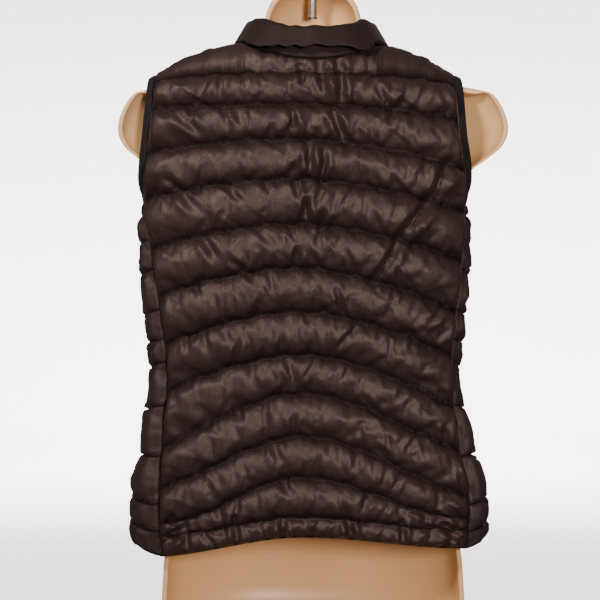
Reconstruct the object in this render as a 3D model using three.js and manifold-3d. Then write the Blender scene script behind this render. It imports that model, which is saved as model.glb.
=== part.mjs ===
// A women's puffer vest with arched quilting, worn by a hollow-backed hanging torso form.
// The wearer faces +Y, so the quilted back faces -Y, and +X is the wearer's right.
// Heights are measured up from the back hem. The finished group is lowered so that the
// origin is the point where the wire hook bears on what it hangs from.
import * as THREE from 'three';
import { mergeVertices } from 'three/addons/utils/BufferGeometryUtils.js';
import Module from 'manifold-3d';

// Cloth walls, in millimetres
const stitchedWall = 2.4;
const channelPuff = 8.5;
const fullChannel = 42;
const seamGap = 0.3;
const seamAllowance = 0.22;
const channelSteps = [0, 0.2, 0.5, 0.8];
const swellPower = 0.6;
const edgeShare = 0.05;
const turnedChannels = 3;

// Shoulders and neck
const neckX = 8;
const neckHalf = 82;
const neckPointZ = 610;
const shoulderTip = 181;
const shoulderSlope = 0.18;
const shoulderCurve = 0.00165;
const backRound = 65;
const frontRound = 90;
const backNeckDrop = 22;
const frontNeckDrop = 80;
const backPower = 3;
const frontPower = 2.3;
const frontSeamShare = 0.42;

// Armhole, zip and collar
const underarmZ = 409;
const armholeJoinZ = 432;
const bindingWidth = 10;
const bindingThick = 4;
const zipHalf = 8;
const chainHalf = 2.1;
const collarHeight = 78;
const collarWall = 4;
const collarStand = { back: 37, shoulder: 31 };
const collarFoldRadius = 7.5;
const collarTurn = 3;
const collarLean = { back: 0.06, side: 0.42 };
const collarEase = 9;

// Torso form and hook
const formX = 10;
const formWall = 3;
const rimWidth = 6;
const rimY = -14;
const shoulderClearance = 2.2;
const crownZ = 690;
const studY = 4;
const studRadius = 5.7;
const wireRadius = 2.5;
const loopRadius = 22;
const loopZ = 742;
const hookZ = loopZ + loopRadius - wireRadius;

// Inside sizes of the worn vest at each height: half its width, depth behind and before the
// side line, and how far its middle has swung to the right.
const bodySections = [
  { z: -10, half: 207, back: 50, front: 92, centre: 5.5 },
  { z: 35, half: 213, back: 52, front: 96, centre: 5.5 },
  { z: 70, half: 209, back: 51, front: 95, centre: 5 },
  { z: 108, half: 199, back: 47, front: 91, centre: 3.5 },
  { z: 147, half: 192.5, back: 42, front: 84, centre: 1.5 },
  { z: 202, half: 182, back: 38, front: 76, centre: 0 },
  { z: 250, half: 186.5, back: 40, front: 82, centre: 0 },
  { z: 301, half: 191, back: 43, front: 93, centre: 0 },
  { z: 363, half: 195.5, back: 46, front: 104, centre: 0 },
  { z: 425, half: 196, back: 48, front: 101, centre: 0 },
  { z: 450, half: 203, back: 49, front: 96, centre: 0 },
  { z: 480, half: 206, back: 49, front: 86, centre: 0 },
  { z: 530, half: 210, back: 48, front: 71, centre: 0 },
  { z: 620, half: 214, back: 45, front: 60, centre: 0 },
];

// Side edges of the back panel: side seam up to the armhole, then the armhole's back edge.
const backEdges = [
  { z: -10, left: 169, right: 192 },
  { z: 30, left: 173, right: 194 },
  { z: 70, left: 173, right: 195 },
  { z: 105, left: 172, right: 188 },
  { z: 150, left: 169.5, right: 182 },
  { z: 200, left: 165, right: 178 },
  { z: 250, left: 168, right: 179 },
  { z: 300, left: 175, right: 184 },
  { z: 345, left: 182, right: 189 },
  { z: 400, left: 192, right: 193.5 },
  { z: 432, left: 194.5, right: 194.5 },
  { z: 467, left: 191, right: 191.5 },
  { z: 500, left: 186, right: 185 },
  { z: 545, left: 182, right: 182 },
  { z: 590, left: 181, right: 181 },
];

// Front edge of the armhole above the side panel.
const frontArmhole = [
  { z: 432, out: 185.1 },
  { z: 455, out: 174 },
  { z: 490, out: 167 },
  { z: 525, out: 167.5 },
  { z: 555, out: 173 },
  { z: 580, out: 181 },
];

// Stitch lines across the back, hem edge first: height at the middle and at both ends,
// and how far the arc runs out level at its ends.
const backLines = [
  { middle: 20, left: -6, right: 3, level: 0.5 },
  { middle: 44, left: 21, right: 27, level: 0.8 },
  { middle: 90, left: 34, right: 40, level: 0.9 },
  { middle: 138, left: 76, right: 65, level: 0.5 },
  { middle: 189, left: 123, right: 118, level: 0.3 },
  { middle: 236, left: 190, right: 168, level: 0 },
  { middle: 287, left: 248, right: 232, level: 0 },
  { middle: 339, left: 306, right: 286, level: 0 },
  { middle: 391, left: 362, right: 348, level: 0 },
  { middle: 444, left: 423, right: 406, level: 0 },
  { middle: 491, left: 477, right: 456, level: 0 },
  { middle: 532, left: 530, right: 517, level: 0 },
  { middle: 571, left: 565, right: 560, level: 0 },
];
const arcPeak = 0.46;
const arcPower = 1.7;

// Stitch lines of a side panel: height at the back seam and at the front seam.
const sideLines = [
  { back: -4, front: 32 },
  { back: 24, front: 54 },
  { back: 56, front: 72 },
  { back: 113, front: 108 },
  { back: 174, front: 152 },
  { back: 227, front: 200 },
  { back: 254, front: 240 },
  { back: 290, front: 266 },
  { back: 339, front: 312 },
  { back: 374, front: 354 },
  { back: 405, front: 395 },
];

// Stitch lines of a front: height at the side and at the zip or neckline.
const frontLines = [
  { out: 32, zip: 30 },
  { out: 54, zip: 52 },
  { out: 102, zip: 94 },
  { out: 150, zip: 140 },
  { out: 198, zip: 186 },
  { out: 246, zip: 232 },
  { out: 293, zip: 279 },
  { out: 340, zip: 327 },
  { out: 387, zip: 375 },
  { out: 432, zip: 420 },
  { out: 470, zip: 459 },
  { out: 505, zip: 495 },
  { out: 536, zip: 530 },
];

// Rows of the torso form from its bottom edge to its crown: outline half width and height,
// the row's height on the middle line, its depth before the rim and how square it rounds.
const formRows = [
  { half: 120, rimZ: -130, z: -130, depth: 0, round: 2.3 },
  { half: 158, rimZ: -120, z: -127, depth: 46, round: 2.3 },
  { half: 176, rimZ: -103, z: -115, depth: 78, round: 2.3 },
  { half: 184, rimZ: -75, z: -88, depth: 98, round: 2.3 },
  { half: 183, rimZ: -40, z: -48, depth: 101, round: 2.3 },
  { half: 180, rimZ: -5, z: -5, depth: 97, round: 2.3 },
  { half: 166, rimZ: 70, z: 70, depth: 88, round: 2.3 },
  { half: 146, rimZ: 135, z: 135, depth: 80, round: 2.3 },
  { half: 136, rimZ: 195, z: 195, depth: 76, round: 2.3 },
  { half: 141, rimZ: 260, z: 255, depth: 85, round: 2.3 },
  { half: 153, rimZ: 325, z: 320, depth: 99, round: 2.3 },
  { half: 166, rimZ: 385, z: 380, depth: 106, round: 2.2 },
  { half: 176, rimZ: 432, z: 420, depth: 101, round: 2.1 },
  { half: 190, rimZ: 456, z: 445, depth: 96, round: 1.9 },
  { half: 211, rimZ: 472, z: 468, depth: 91, round: 1.7 },
  { half: 230, rimZ: 488, z: 488, depth: 85, round: 1.6 },
  { half: 238, rimZ: 508, z: 507, depth: 80, round: 1.55 },
  { half: 233, rimZ: 531, z: 524, depth: 75, round: 1.55 },
  { half: 219, rimZ: 552, z: 540, depth: 70, round: 1.55 },
  { half: 200, rimZ: 565, z: 553, depth: 66, round: 1.55 },
  { half: 172, rimZ: 583, z: 566, depth: 62, round: 1.55 },
  { half: 140, rimZ: 592, z: 578, depth: 58, round: 1.6 },
  { half: 108, rimZ: 598, z: 588, depth: 55, round: 1.7 },
  { half: 82, rimZ: 600, z: 596, depth: 53, round: 1.8 },
  { half: 68, rimZ: 608, z: 607, depth: 52, round: 1.9 },
  { half: 61, rimZ: 622, z: 622, depth: 52, round: 2 },
  { half: 59, rimZ: 641, z: 641, depth: 53, round: 2.1 },
  { half: 54, rimZ: 659, z: 660, depth: 52, round: 2.2 },
  { half: 45, rimZ: 672, z: 674, depth: 48, round: 2.3 },
  { half: 35, rimZ: 681, z: 683, depth: 41, round: 2.3 },
  { half: 24, rimZ: 687, z: 688, depth: 30, round: 2.3 },
  { half: 12, rimZ: 690, z: 690, depth: 0, round: 2.3 },
];

const wasm = await Module();
wasm.setup();

const clothFinish = { color: 0x2a2022, roughness: 0.55, metalness: 0 };
const trimFinish = { color: 0x1a161e, roughness: 0.9, metalness: 0 };
const formFinish = { color: 0xe1bd8f, roughness: 0.4, metalness: 0 };
const steelFinish = { color: 0xb4b2ac, roughness: 0.3, metalness: 1 };
const zipFinish = { color: 0x17161a, roughness: 0.45, metalness: 0 };

const lerp = THREE.MathUtils.lerp;
const smoothstep = THREE.MathUtils.smoothstep;
const clamp = THREE.MathUtils.clamp;
const vec = (x, y, z) => new THREE.Vector3(x, y, z);

// A table's column at a height, on a smooth curve through its rows.
function readColumn(rows, key, z) {
  const last = rows.length - 1;
  const at = clamp(z, rows[0].z, rows[last].z);
  let i = 0;
  while (i < last - 1 && rows[i + 1].z < at) i += 1;
  const slopeAt = j => {
    const a = rows[Math.max(0, j - 1)];
    const b = rows[Math.min(last, j + 1)];
    return (b[key] - a[key]) / (b.z - a.z);
  };
  const span = rows[i + 1].z - rows[i].z;
  const t = (at - rows[i].z) / span;
  const rise = t * t * (3 - 2 * t);
  const bend = t * (1 - t) * span;
  const straight = lerp(rows[i][key], rows[i + 1][key], rise);
  return straight + bend * (slopeAt(i) * (1 - t) - slopeAt(i + 1) * t);
}

function shoulderHeight(x) {
  const beyond = Math.abs(x) - neckHalf;
  return neckPointZ - shoulderSlope * beyond - shoulderCurve * Math.max(0, beyond) ** 2;
}

// Height of the line from one neck point to the other.
function neckTop(x) {
  const share = clamp((x - neckX + neckHalf) / (2 * neckHalf), 0, 1);
  return lerp(shoulderHeight(neckX - neckHalf), shoulderHeight(neckX + neckHalf), share);
}

// Height of the shoulder ridge, carried on up over the neck so that necklines leave it smoothly.
function ridgeHeight(x) {
  const reach = Math.abs(x - neckX) / neckHalf;
  return reach < 1 ? neckTop(x) + backRound * (1 - reach ** 2) : shoulderHeight(x);
}

const roundOf = face => (face < 0 ? backRound : frontRound);

// Length up the body for a height: the same below the shoulder's round, the arc's length on it.
function lengthUp(x, z, face) {
  const start = ridgeHeight(x) - roundOf(face);
  if (z <= start) return z;
  return start + roundOf(face) * Math.asin(Math.min(1, (z - start) / roundOf(face)));
}

// A point on the vest's inside, from its place across, its length up and its face (-1 is the back).
function torsoPoint(x, length, face) {
  const start = ridgeHeight(x) - roundOf(face);
  const turn = Math.max(0, (length - start) / roundOf(face));
  const z = turn > 0 ? start + roundOf(face) * Math.sin(turn) : length;
  const fromCentre = Math.abs(x - readColumn(bodySections, 'centre', z));
  const across = Math.min(1, fromCentre / readColumn(bodySections, 'half', z));
  const power = face < 0 ? backPower : frontPower;
  const depth = readColumn(bodySections, face < 0 ? 'back' : 'front', z);
  return vec(x, face * depth * (1 - across ** power) ** (1 / power) * Math.cos(turn), z);
}

// A point on the vest's side, from its depth and height (side 1 is the wearer's right).
function sidePoint(y, z, side) {
  const back = y < 0;
  const power = back ? backPower : frontPower;
  const reach = Math.min(1, Math.abs(y) / readColumn(bodySections, back ? 'back' : 'front', z));
  const half = readColumn(bodySections, 'half', z);
  return vec(readColumn(bodySections, 'centre', z) + side * half * (1 - reach ** power) ** (1 / power), y, z);
}

// A surface's point with its outward direction, by small steps along both of its parameters.
function withNormal(surface, u, v, flip) {
  const step = 0.4;
  const along = surface(u + step, v).sub(surface(u - step, v));
  const up = surface(u, v + step).sub(surface(u, v - step));
  return { point: surface(u, v), normal: along.cross(up).normalize().multiplyScalar(flip) };
}

const moved = (spot, distance) => spot.point.clone().addScaledVector(spot.normal, distance);

// Turns every face outwards and gives the closed mesh its shading.
function closedGeometry(points, faces) {
  let volume = 0;
  for (const [a, b, c] of faces) volume += points[a].dot(points[b].clone().cross(points[c]));
  const turned = volume < 0 ? faces.map(([a, b, c]) => [a, c, b]) : faces;
  const geometry = new THREE.BufferGeometry().setFromPoints(points);
  geometry.setIndex(turned.flat());
  geometry.computeVertexNormals();
  return geometry;
}

// Triangles between two edges whose points are ordered by the same rising values.
function fillStrip(faces, left, right) {
  let i = 0;
  let j = 0;
  while (i < left.length - 1 || j < right.length - 1) {
    const stepLeft = j === right.length - 1
      || (i < left.length - 1 && left[i + 1].at <= right[j + 1].at);
    const corner = stepLeft ? left[i + 1].id : right[j + 1].id;
    faces.push([left[i].id, right[j].id, corner]);
    if (stepLeft) i += 1;
    else j += 1;
  }
}

// A wall between an outer grid and a plain inner one. The inner grid keeps every row at its
// two side edges, so that it meets its neighbours closely, and the marked rows between them.
function wallGeometry(outer, inner, keptRow) {
  const rows = outer.length;
  const columns = outer[0].length;
  const points = [...outer.flat(), ...inner.flat()];
  const outerId = (r, c) => r * columns + c;
  const innerId = (r, c) => rows * columns + r * columns + c;
  const faces = [];
  const quad = (a, b, c, d) => faces.push([a, b, c], [a, c, d]);
  for (let r = 0; r < rows - 1; r += 1) {
    for (let c = 0; c < columns - 1; c += 1) {
      quad(outerId(r, c), outerId(r, c + 1), outerId(r + 1, c + 1), outerId(r + 1, c));
    }
    quad(outerId(r, 0), outerId(r + 1, 0), innerId(r + 1, 0), innerId(r, 0));
    const last = columns - 1;
    quad(innerId(r, last), innerId(r + 1, last), outerId(r + 1, last), outerId(r, last));
  }
  const edge = c => outer.map((row, r) => ({ id: innerId(r, c), at: r }));
  const kept = c => edge(c).filter(spot => keptRow(spot.at));
  fillStrip(faces, kept(1), edge(0));
  fillStrip(faces, edge(columns - 1), kept(columns - 2));
  for (let c = 1; c < columns - 2; c += 1) fillStrip(faces, kept(c + 1), kept(c));
  for (let c = 0; c < columns - 1; c += 1) {
    quad(outerId(0, c + 1), outerId(0, c), innerId(0, c), innerId(0, c + 1));
    quad(outerId(rows - 1, c), outerId(rows - 1, c + 1), innerId(rows - 1, c + 1), innerId(rows - 1, c));
  }
  return compactGeometry(points, faces);
}

// Drops the points that no face uses.
function compactGeometry(points, faces) {
  const used = [...new Set(faces.flat())].sort((a, b) => a - b);
  const place = new Map(used.map((id, i) => [id, i]));
  const renumbered = faces.map(face => face.map(id => place.get(id)));
  return closedGeometry(used.map(id => points[id]), renumbered);
}

// Rows of a panel: some in each channel and one on each stitch line and edge.
function panelRows(lineCount) {
  const rows = [];
  for (let line = 0; line < lineCount - 1; line += 1) {
    for (const step of channelSteps) rows.push(line + step);
  }
  return [...rows, lineCount - 1];
}

// A sewn panel: its surface gives a spot for a column and a row, and each channel between two
// stitch lines swells out, less where it is narrow and not at all at the panel's sides.
function quiltedPanel(spotAt, lineCount, columnCount) {
  const rows = panelRows(lineCount);
  const columns = Array.from({ length: columnCount }, (_, i) => i);
  const puffAt = (column, row) => {
    const line = Math.min(lineCount - 2, Math.floor(row));
    const height = spotAt(column, line + 1).point.distanceTo(spotAt(column, line).point);
    const onSide = column === 0 || column === columnCount - 1;
    const swell = onSide ? 0 : Math.sin(Math.PI * (row - line)) ** swellPower;
    return channelPuff * swell * Math.min(1, height / fullChannel);
  };
  const outer = rows.map(row => columns.map(column => {
    return moved(spotAt(column, row), stitchedWall + (Number.isInteger(row) ? 0 : puffAt(column, row)));
  }));
  const inner = rows.map(row => columns.map(column => spotAt(column, row).point));
  const kept = r => Number.isInteger(rows[r]) || rows[r] > lineCount - 3;
  return wallGeometry(outer, inner, kept);
}

const lastBackLine = backLines.length - 1;
const lastFrontLine = frontLines.length - 1;
const lastSideLine = sideLines.length - 1;

const between = (lines, key, row) => {
  const line = Math.min(lines.length - 1, Math.floor(row));
  const next = Math.min(lines.length - 1, line + 1);
  return lerp(lines[line][key], lines[next][key], row - line);
};

// Height of a back stitch line at a share across. Its ends fall away from the peak, and the low
// lines run out level.
function backLineHeight(share, row) {
  const reach = share < arcPeak ? (arcPeak - share) / arcPeak : (share - arcPeak) / (1 - arcPeak);
  const level = between(backLines, 'level', row);
  const fall = lerp(reach ** arcPower, (1 - Math.cos(Math.PI * reach)) / 2, level);
  const end = between(backLines, share < arcPeak ? 'left' : 'right', row);
  return lerp(between(backLines, 'middle', row), end, fall);
}

// The neckline's height at a place across, on the back (-1) and the front (1).
function necklineHeight(x, face) {
  const reach = Math.min(1, Math.abs(x - neckX) / neckHalf);
  if (face < 0) return neckTop(x) - backNeckDrop * (1 - reach ** 2.2);
  return neckTop(x) - frontNeckDrop * Math.sqrt(1 - reach ** 2);
}

// Length up to a panel's top edge: the shoulder seam, or the neckline between the neck points.
function topLength(x, face) {
  const onNeck = Math.abs(x - neckX) < neckHalf;
  if (onNeck) return lengthUp(x, necklineHeight(x, face), face);
  return ridgeHeight(x) - roundOf(face) + roundOf(face) * Math.PI / 2 - seamGap;
}

// Share across the back's top edge of a place across.
const topShare = x => (x + shoulderTip) / (2 * shoulderTip);

// Places across the neckline, closer together towards the neck points.
const neckCount = 11;
const neckPlaces = Array.from({ length: neckCount }, (_, i) => {
  return neckX + neckHalf * Math.sin(Math.PI * (i / (neckCount - 1) - 0.5));
});

// The back's columns: as evenly spaced on its stitch lines, and as they meet the top edge, where
// some stand on the neckline's own places.
const spread = (from, to, count) => Array.from({ length: count }, (_, i) => lerp(from, to, i / count));
const shoulderColumns = 4;
const neckShares = neckPlaces.map(topShare);
const topColumns = [
  0,
  ...spread(edgeShare, neckShares[0], shoulderColumns),
  ...neckShares,
  ...spread(1 - edgeShare, neckShares[neckCount - 1], shoulderColumns).reverse(),
  1,
];
const lineColumns = [0, ...spread(edgeShare, 1 - edgeShare, topColumns.length - 3), 1 - edgeShare, 1];

// Share across at a column and row: the columns turn from the one spacing to the other over the
// topmost channels.
function columnShare(column, row) {
  const rise = smoothstep(row, lastBackLine - turnedChannels, lastBackLine + 1);
  return lerp(lineColumns[column], topColumns[column], rise);
}

// A spot on the back panel for a share across and a row, the last row being the top edge.
function backSpot(share, row) {
  const edgeAt = (side, key) => {
    const z = backLineHeight(side < 0 ? 0 : 1, Math.min(row, lastBackLine));
    const topZ = lerp(z, ridgeHeight(side * shoulderTip) - 1, Math.max(0, row - lastBackLine));
    return side * (readColumn(backEdges, key, topZ) - seamAllowance);
  };
  const x = lerp(edgeAt(-1, 'left'), edgeAt(1, 'right'), share);
  const line = lengthUp(x, backLineHeight(share, Math.min(row, lastBackLine)), -1);
  const length = lerp(line, topLength(x, -1), Math.max(0, row - lastBackLine));
  return withNormal((u, v) => torsoPoint(u, v, -1), x, length, 1);
}

// The front seam lies where the front has this share of its depth.
const frontSeamOut = z => readColumn(bodySections, 'half', z)
  * (1 - frontSeamShare ** frontPower) ** (1 / frontPower);

// Place across of a front panel's outer edge: side seam, then armhole.
function frontEdge(z, side) {
  const out = z < armholeJoinZ ? frontSeamOut(z) : readColumn(frontArmhole, 'out', z);
  return readColumn(bodySections, 'centre', z) + side * (out - seamAllowance);
}

// Two channels lie above a front's last stitch line, and their inner ends go round the neckline.
const topChannels = 2;

// Height at a length up the body, the other way round from lengthUp.
function heightOf(x, length, face) {
  const start = ridgeHeight(x) - roundOf(face);
  return length < start ? length : start + roundOf(face) * Math.sin((length - start) / roundOf(face));
}

// Place and length of a front's stitch line, at a share across and a row below the yoke.
function frontLineSpot(share, row, side) {
  const corner = necklineHeight(neckX + side * zipHalf, 1) - frontLines[lastFrontLine].zip;
  const zipZ = between(frontLines, 'zip', row) + corner * clamp(row - lastFrontLine + 1, 0, 1);
  const outZ = between(frontLines, 'out', row);
  const x = lerp(frontEdge(outZ, side), neckX + side * zipHalf, share);
  return { x, length: lengthUp(x, lerp(outZ, zipZ, share), 1) };
}

// Place and length in the yoke, filled in smoothly between the last stitch line, the armhole,
// the shoulder seam and the neckline.
function yokeSpot(share, rise, side) {
  const low = frontLineSpot(share, lastFrontLine, side);
  const seamX = lerp(side * shoulderTip, neckX + side * neckHalf, share);
  const top = { x: seamX, length: topLength(seamX + side * 0.01, 1) };
  const outStart = frontLineSpot(0, lastFrontLine, side);
  const outEnd = { x: side * shoulderTip, length: topLength(side * shoulderTip, 1) };
  const outLength = lerp(outStart.length, outEnd.length, rise);
  const out = { x: frontEdge(heightOf(side * shoulderTip, outLength, 1), side), length: outLength };
  const neckAt = round => {
    const x = neckX + side * Math.max(zipHalf, neckHalf * Math.sin(round * Math.PI / 2));
    const atPoint = topLength(x + side * 0.01, 1);
    return { x, length: round === 1 ? atPoint : lengthUp(x, necklineHeight(x, 1), 1) };
  };
  const neck = neckAt(rise);
  const neckStart = neckAt(0);
  const neckEnd = neckAt(1);
  const fill = key => {
    const lowCorner = lerp(outStart[key], neckStart[key], share);
    const topCorner = lerp(outEnd[key], neckEnd[key], share);
    const corners = lerp(lowCorner, topCorner, rise);
    return lerp(low[key], top[key], rise) + lerp(out[key], neck[key], share) - corners;
  };
  return { x: fill('x'), length: fill('length') };
}

// A spot on a front panel for a share from its outer edge to its inner one.
function frontSpot(share, row, side) {
  const rise = (row - lastFrontLine) / topChannels;
  const { x, length } = rise > 0 ? yokeSpot(share, rise, side) : frontLineSpot(share, row, side);
  return withNormal((u, v) => torsoPoint(u, v, 1), x, length, -1);
}

// Depth of a side panel's seam with the back, from where the back panel's edge lies.
function backSeamDepth(z, side) {
  const edge = readColumn(backEdges, side < 0 ? 'left' : 'right', z);
  return torsoPoint(side * edge, z, -1).y;
}

const frontSeamDepth = z => frontSeamShare * readColumn(bodySections, 'front', z);

// Height of the underarm edge: it dips in a bowl between the two armhole joins.
function underarmHeight(share) {
  return armholeJoinZ - (armholeJoinZ - underarmZ) * Math.sqrt(1 - (2 * share - 1) ** 2);
}

// A spot on a side panel for a share from its back seam to its front seam.
function sideSpot(share, row, side) {
  const lowRow = Math.min(row, lastSideLine);
  const above = Math.max(0, row - lastSideLine);
  const line = lerp(between(sideLines, 'back', lowRow), between(sideLines, 'front', lowRow), share);
  const z = lerp(line, underarmHeight(share), above);
  const y = lerp(backSeamDepth(z, side) + seamAllowance, frontSeamDepth(z) - seamAllowance, share);
  return withNormal((u, v) => sidePoint(u, v, side), y, z, side);
}

// Rings of equal length joined one after another, closed round or capped at both ends.
function loftGeometry(rings, closed) {
  const count = rings[0].length;
  const faces = [];
  const last = closed ? rings.length : rings.length - 1;
  for (let r = 0; r < last; r += 1) {
    const next = (r + 1) % rings.length;
    for (let i = 0; i < count; i += 1) {
      const j = (i + 1) % count;
      faces.push([r * count + i, r * count + j, next * count + j]);
      faces.push([r * count + i, next * count + j, next * count + i]);
    }
  }
  if (!closed) {
    const end = (rings.length - 1) * count;
    for (let i = 1; i < count - 1; i += 1) {
      faces.push([0, i + 1, i], [end, end + i, end + i + 1]);
    }
  }
  return closedGeometry(rings.flat(), faces);
}

// Even samples along the armhole's edge: up the back, over the shoulder, down the front and
// under the arm, each with the cloth's outward direction there.
function armholeEdge(side, count) {
  const spots = [];
  const backRow = z => {
    const x = side * readColumn(backEdges, side < 0 ? 'left' : 'right', z);
    return withNormal((u, v) => torsoPoint(u, v, -1), x, lengthUp(side * shoulderTip, z, -1), 1);
  };
  const frontRow = z => {
    const length = lengthUp(side * shoulderTip, z, 1);
    return withNormal((u, v) => torsoPoint(u, v, 1), frontEdge(z, side), length, -1);
  };
  const ridge = ridgeHeight(side * shoulderTip);
  const samples = 24;
  const rise = i => lerp(armholeJoinZ, ridge, Math.sin(Math.PI / 2 * i / samples));
  for (let i = 0; i < samples; i += 1) spots.push(backRow(rise(i)));
  for (let i = samples; i >= 0; i -= 1) spots.push(frontRow(rise(i)));
  for (let i = 1; i < samples; i += 1) {
    spots.push(sideSpot(1 - i / samples, sideLines.length, side));
  }
  const path = new THREE.CatmullRomCurve3(spots.map(spot => spot.point), true, 'centripetal');
  const nearest = point => spots.reduce((best, spot) => (
    spot.point.distanceTo(point) < best.point.distanceTo(point) ? spot : best));
  return Array.from({ length: count }, (_, i) => {
    const point = path.getPointAt(i / count);
    return { point, tangent: path.getTangentAt(i / count), normal: nearest(point).normal };
  });
}

// An elastic binding: a flat rounded strip just inside the armhole's edge.
function bindingGeometry(side) {
  const hole = vec(side * 190, 10, 495);
  const rings = armholeEdge(side, 50).map(({ point, tangent, normal }) => {
    const inward = tangent.clone().cross(normal).normalize();
    if (inward.dot(hole.clone().sub(point)) < 0) inward.negate();
    const middle = point.clone()
      .addScaledVector(inward, seamGap + 1 + bindingWidth / 2)
      .addScaledVector(normal, stitchedWall / 2);
    return Array.from({ length: 8 }, (_, i) => {
      const angle = (i + 0.5) / 8 * Math.PI * 2;
      const reach = Math.sign(Math.cos(angle)) * Math.abs(Math.cos(angle)) ** 0.6;
      return middle.clone()
        .addScaledVector(inward, reach * bindingWidth / 2)
        .addScaledVector(normal, Math.sin(angle) * bindingThick / 2);
    });
  });
  return loftGeometry(rings, true);
}

// The neckline from the zip on one side, round the back, to the zip on the other, on the panels'
// own edge points. Each spot has how far it has turned round from the back's middle.
function necklineSpots() {
  const frontRows = panelRows(lastFrontLine + topChannels + 1).filter(row => row >= lastFrontLine);
  const frontEdgeSpots = side => frontRows.slice(0, -1).map(row => frontSpot(1, row, side));
  const backSpots = neckPlaces.map(x => backSpot(topShare(x), lastBackLine + 1));
  const spots = [...frontEdgeSpots(-1), ...backSpots, ...frontEdgeSpots(1).reverse()];
  return spots.map(spot => {
    const reach = clamp((spot.point.x - neckX) / neckHalf, -1, 1);
    const quarter = Math.asin(reach);
    const turn = spot.point.y < 0 ? quarter : Math.sign(reach) * Math.PI - quarter;
    return { ...spot, turn, round: Math.abs(turn) / Math.PI };
  });
}

// The collar stands up from the neckline. Over the back and the shoulders it turns down
// outwards, and towards the zip the fold runs up to its top edge.
function collarSection(spots, i, steps) {
  const { point, normal, round, turn } = spots[i];
  const before = spots[Math.max(0, i - 1)].point;
  const after = spots[Math.min(spots.length - 1, i + 1)].point;
  const sideways = 1 - smoothstep(round, 0.85, 0.96);
  const out = vec(Math.sin(turn) * sideways, -Math.cos(turn), 0).normalize();
  let start = after.clone().sub(before).normalize().cross(normal);
  if (start.z < 0 && Math.abs(start.z) > 0.2) start.negate();
  if (start.dot(out) > 0 && Math.abs(start.z) <= 0.2) start.negate();
  start.setX(start.x * sideways).normalize();
  const lean = lerp(collarLean.back, collarLean.side, Math.abs(Math.sin(turn)));
  const upright = vec(0, 0, 1).addScaledVector(out, -lean).normalize();
  const away = out.clone().addScaledVector(vec(0, 0, 1), lean).normalize();
  const stand = lerp(collarStand.back, collarStand.shoulder, smoothstep(round, 0, 0.5));
  const foldAt = lerp(stand, collarHeight + 12, smoothstep(round, 0.45, 0.85));
  const inner = [point.clone().addScaledVector(start, seamGap + 0.2)];
  const outer = [inner[0].clone().addScaledVector(normal, collarWall * 0.7)];
  const stride = collarHeight / steps;
  const at = inner[0].clone();
  for (let k = 1; k <= steps; k += 1) {
    const v = (k - 0.5) * stride;
    const angle = clamp((v - foldAt) / collarFoldRadius, 0, collarTurn);
    const direction = angle > 0
      ? upright.clone().multiplyScalar(Math.cos(angle)).addScaledVector(away, Math.sin(angle))
      : start.clone().lerp(upright, smoothstep(v, 0, collarEase)).normalize();
    at.addScaledVector(direction, stride);
    const side = angle > 0
      ? away.clone().multiplyScalar(Math.cos(angle)).addScaledVector(upright, -Math.sin(angle))
      : normal.clone().lerp(away, smoothstep(v, 0, collarEase)).normalize();
    inner.push(at.clone());
    outer.push(at.clone().addScaledVector(side, collarWall));
  }
  return { inner, outer };
}

function collarGeometry() {
  const spots = necklineSpots();
  const sections = spots.map((_, i) => collarSection(spots, i, 14));
  return wallGeometry(sections.map(s => s.outer), sections.map(s => s.inner), () => true);
}

// The front's middle line with its outward direction: up the chest, then up the collar.
function zipLine() {
  const line = [];
  const chest = 26;
  for (let i = 0; i <= chest; i += 1) {
    const z = lerp(frontLines[0].zip + 1, neckTop(neckX) - frontNeckDrop, i / chest);
    line.push(withNormal((u, v) => torsoPoint(u, v, 1), neckX, z, -1));
  }
  const spots = necklineSpots();
  const { inner, outer } = collarSection(spots, 0, 14);
  for (let k = 1; k < inner.length; k += 2) {
    const normal = outer[k].clone().sub(inner[k]).setX(0).normalize();
    line.push({ point: inner[k].clone().setX(neckX), normal });
  }
  return line;
}

// A flat strip along the zip line between two places across and two heights off the cloth.
function zipStrip(line, from, to, low, high) {
  const rings = line.map(({ point, normal }) => [[from, low], [to, low], [to, high], [from, high]]
    .map(([x, lift]) => vec(neckX + x, point.y, point.z).addScaledVector(normal, lift)));
  return loftGeometry(rings, false);
}

// A closed mesh as a solid for cutting and joining, and back.
function toSolid(geometry) {
  const plain = geometry.clone();
  plain.deleteAttribute('normal');
  plain.deleteAttribute('uv');
  const merged = mergeVertices(plain, 1e-4);
  return new wasm.Manifold(new wasm.Mesh({
    numProp: 3,
    vertProperties: new Float32Array(merged.attributes.position.array),
    triVerts: new Uint32Array(merged.index.array),
  }));
}

function fromSolid(solid) {
  const mesh = solid.getMesh();
  const geometry = new THREE.BufferGeometry();
  geometry.setAttribute('position', new THREE.BufferAttribute(new Float32Array(mesh.vertProperties), 3));
  geometry.setIndex(new THREE.BufferAttribute(new Uint32Array(mesh.triVerts), 1));
  geometry.computeVertexNormals();
  return geometry;
}

const joined = (first, ...others) => {
  return fromSolid(others.reduce((all, next) => all.add(toSolid(next)), toSolid(first)));
};
const block = (w, d, h, x, y, z) => new THREE.BoxGeometry(w, d, h).translate(x, y, z);
const crossRod = (radius, length, x, y, z) => new THREE.CylinderGeometry(radius, radius, length, 16)
  .rotateZ(Math.PI / 2).translate(x, y, z);

// Slider sizes, in its own frame: +Y is off the cloth and the chain runs down along -Z.
const slider = {
  width: 8.6,
  height: 12,
  plate: 1.4,
  front: 2.5,
  back: -0.6,
  eyeY: 6.1,
  eyeHole: 1.5,
  chainTop: 2.2,
};

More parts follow.
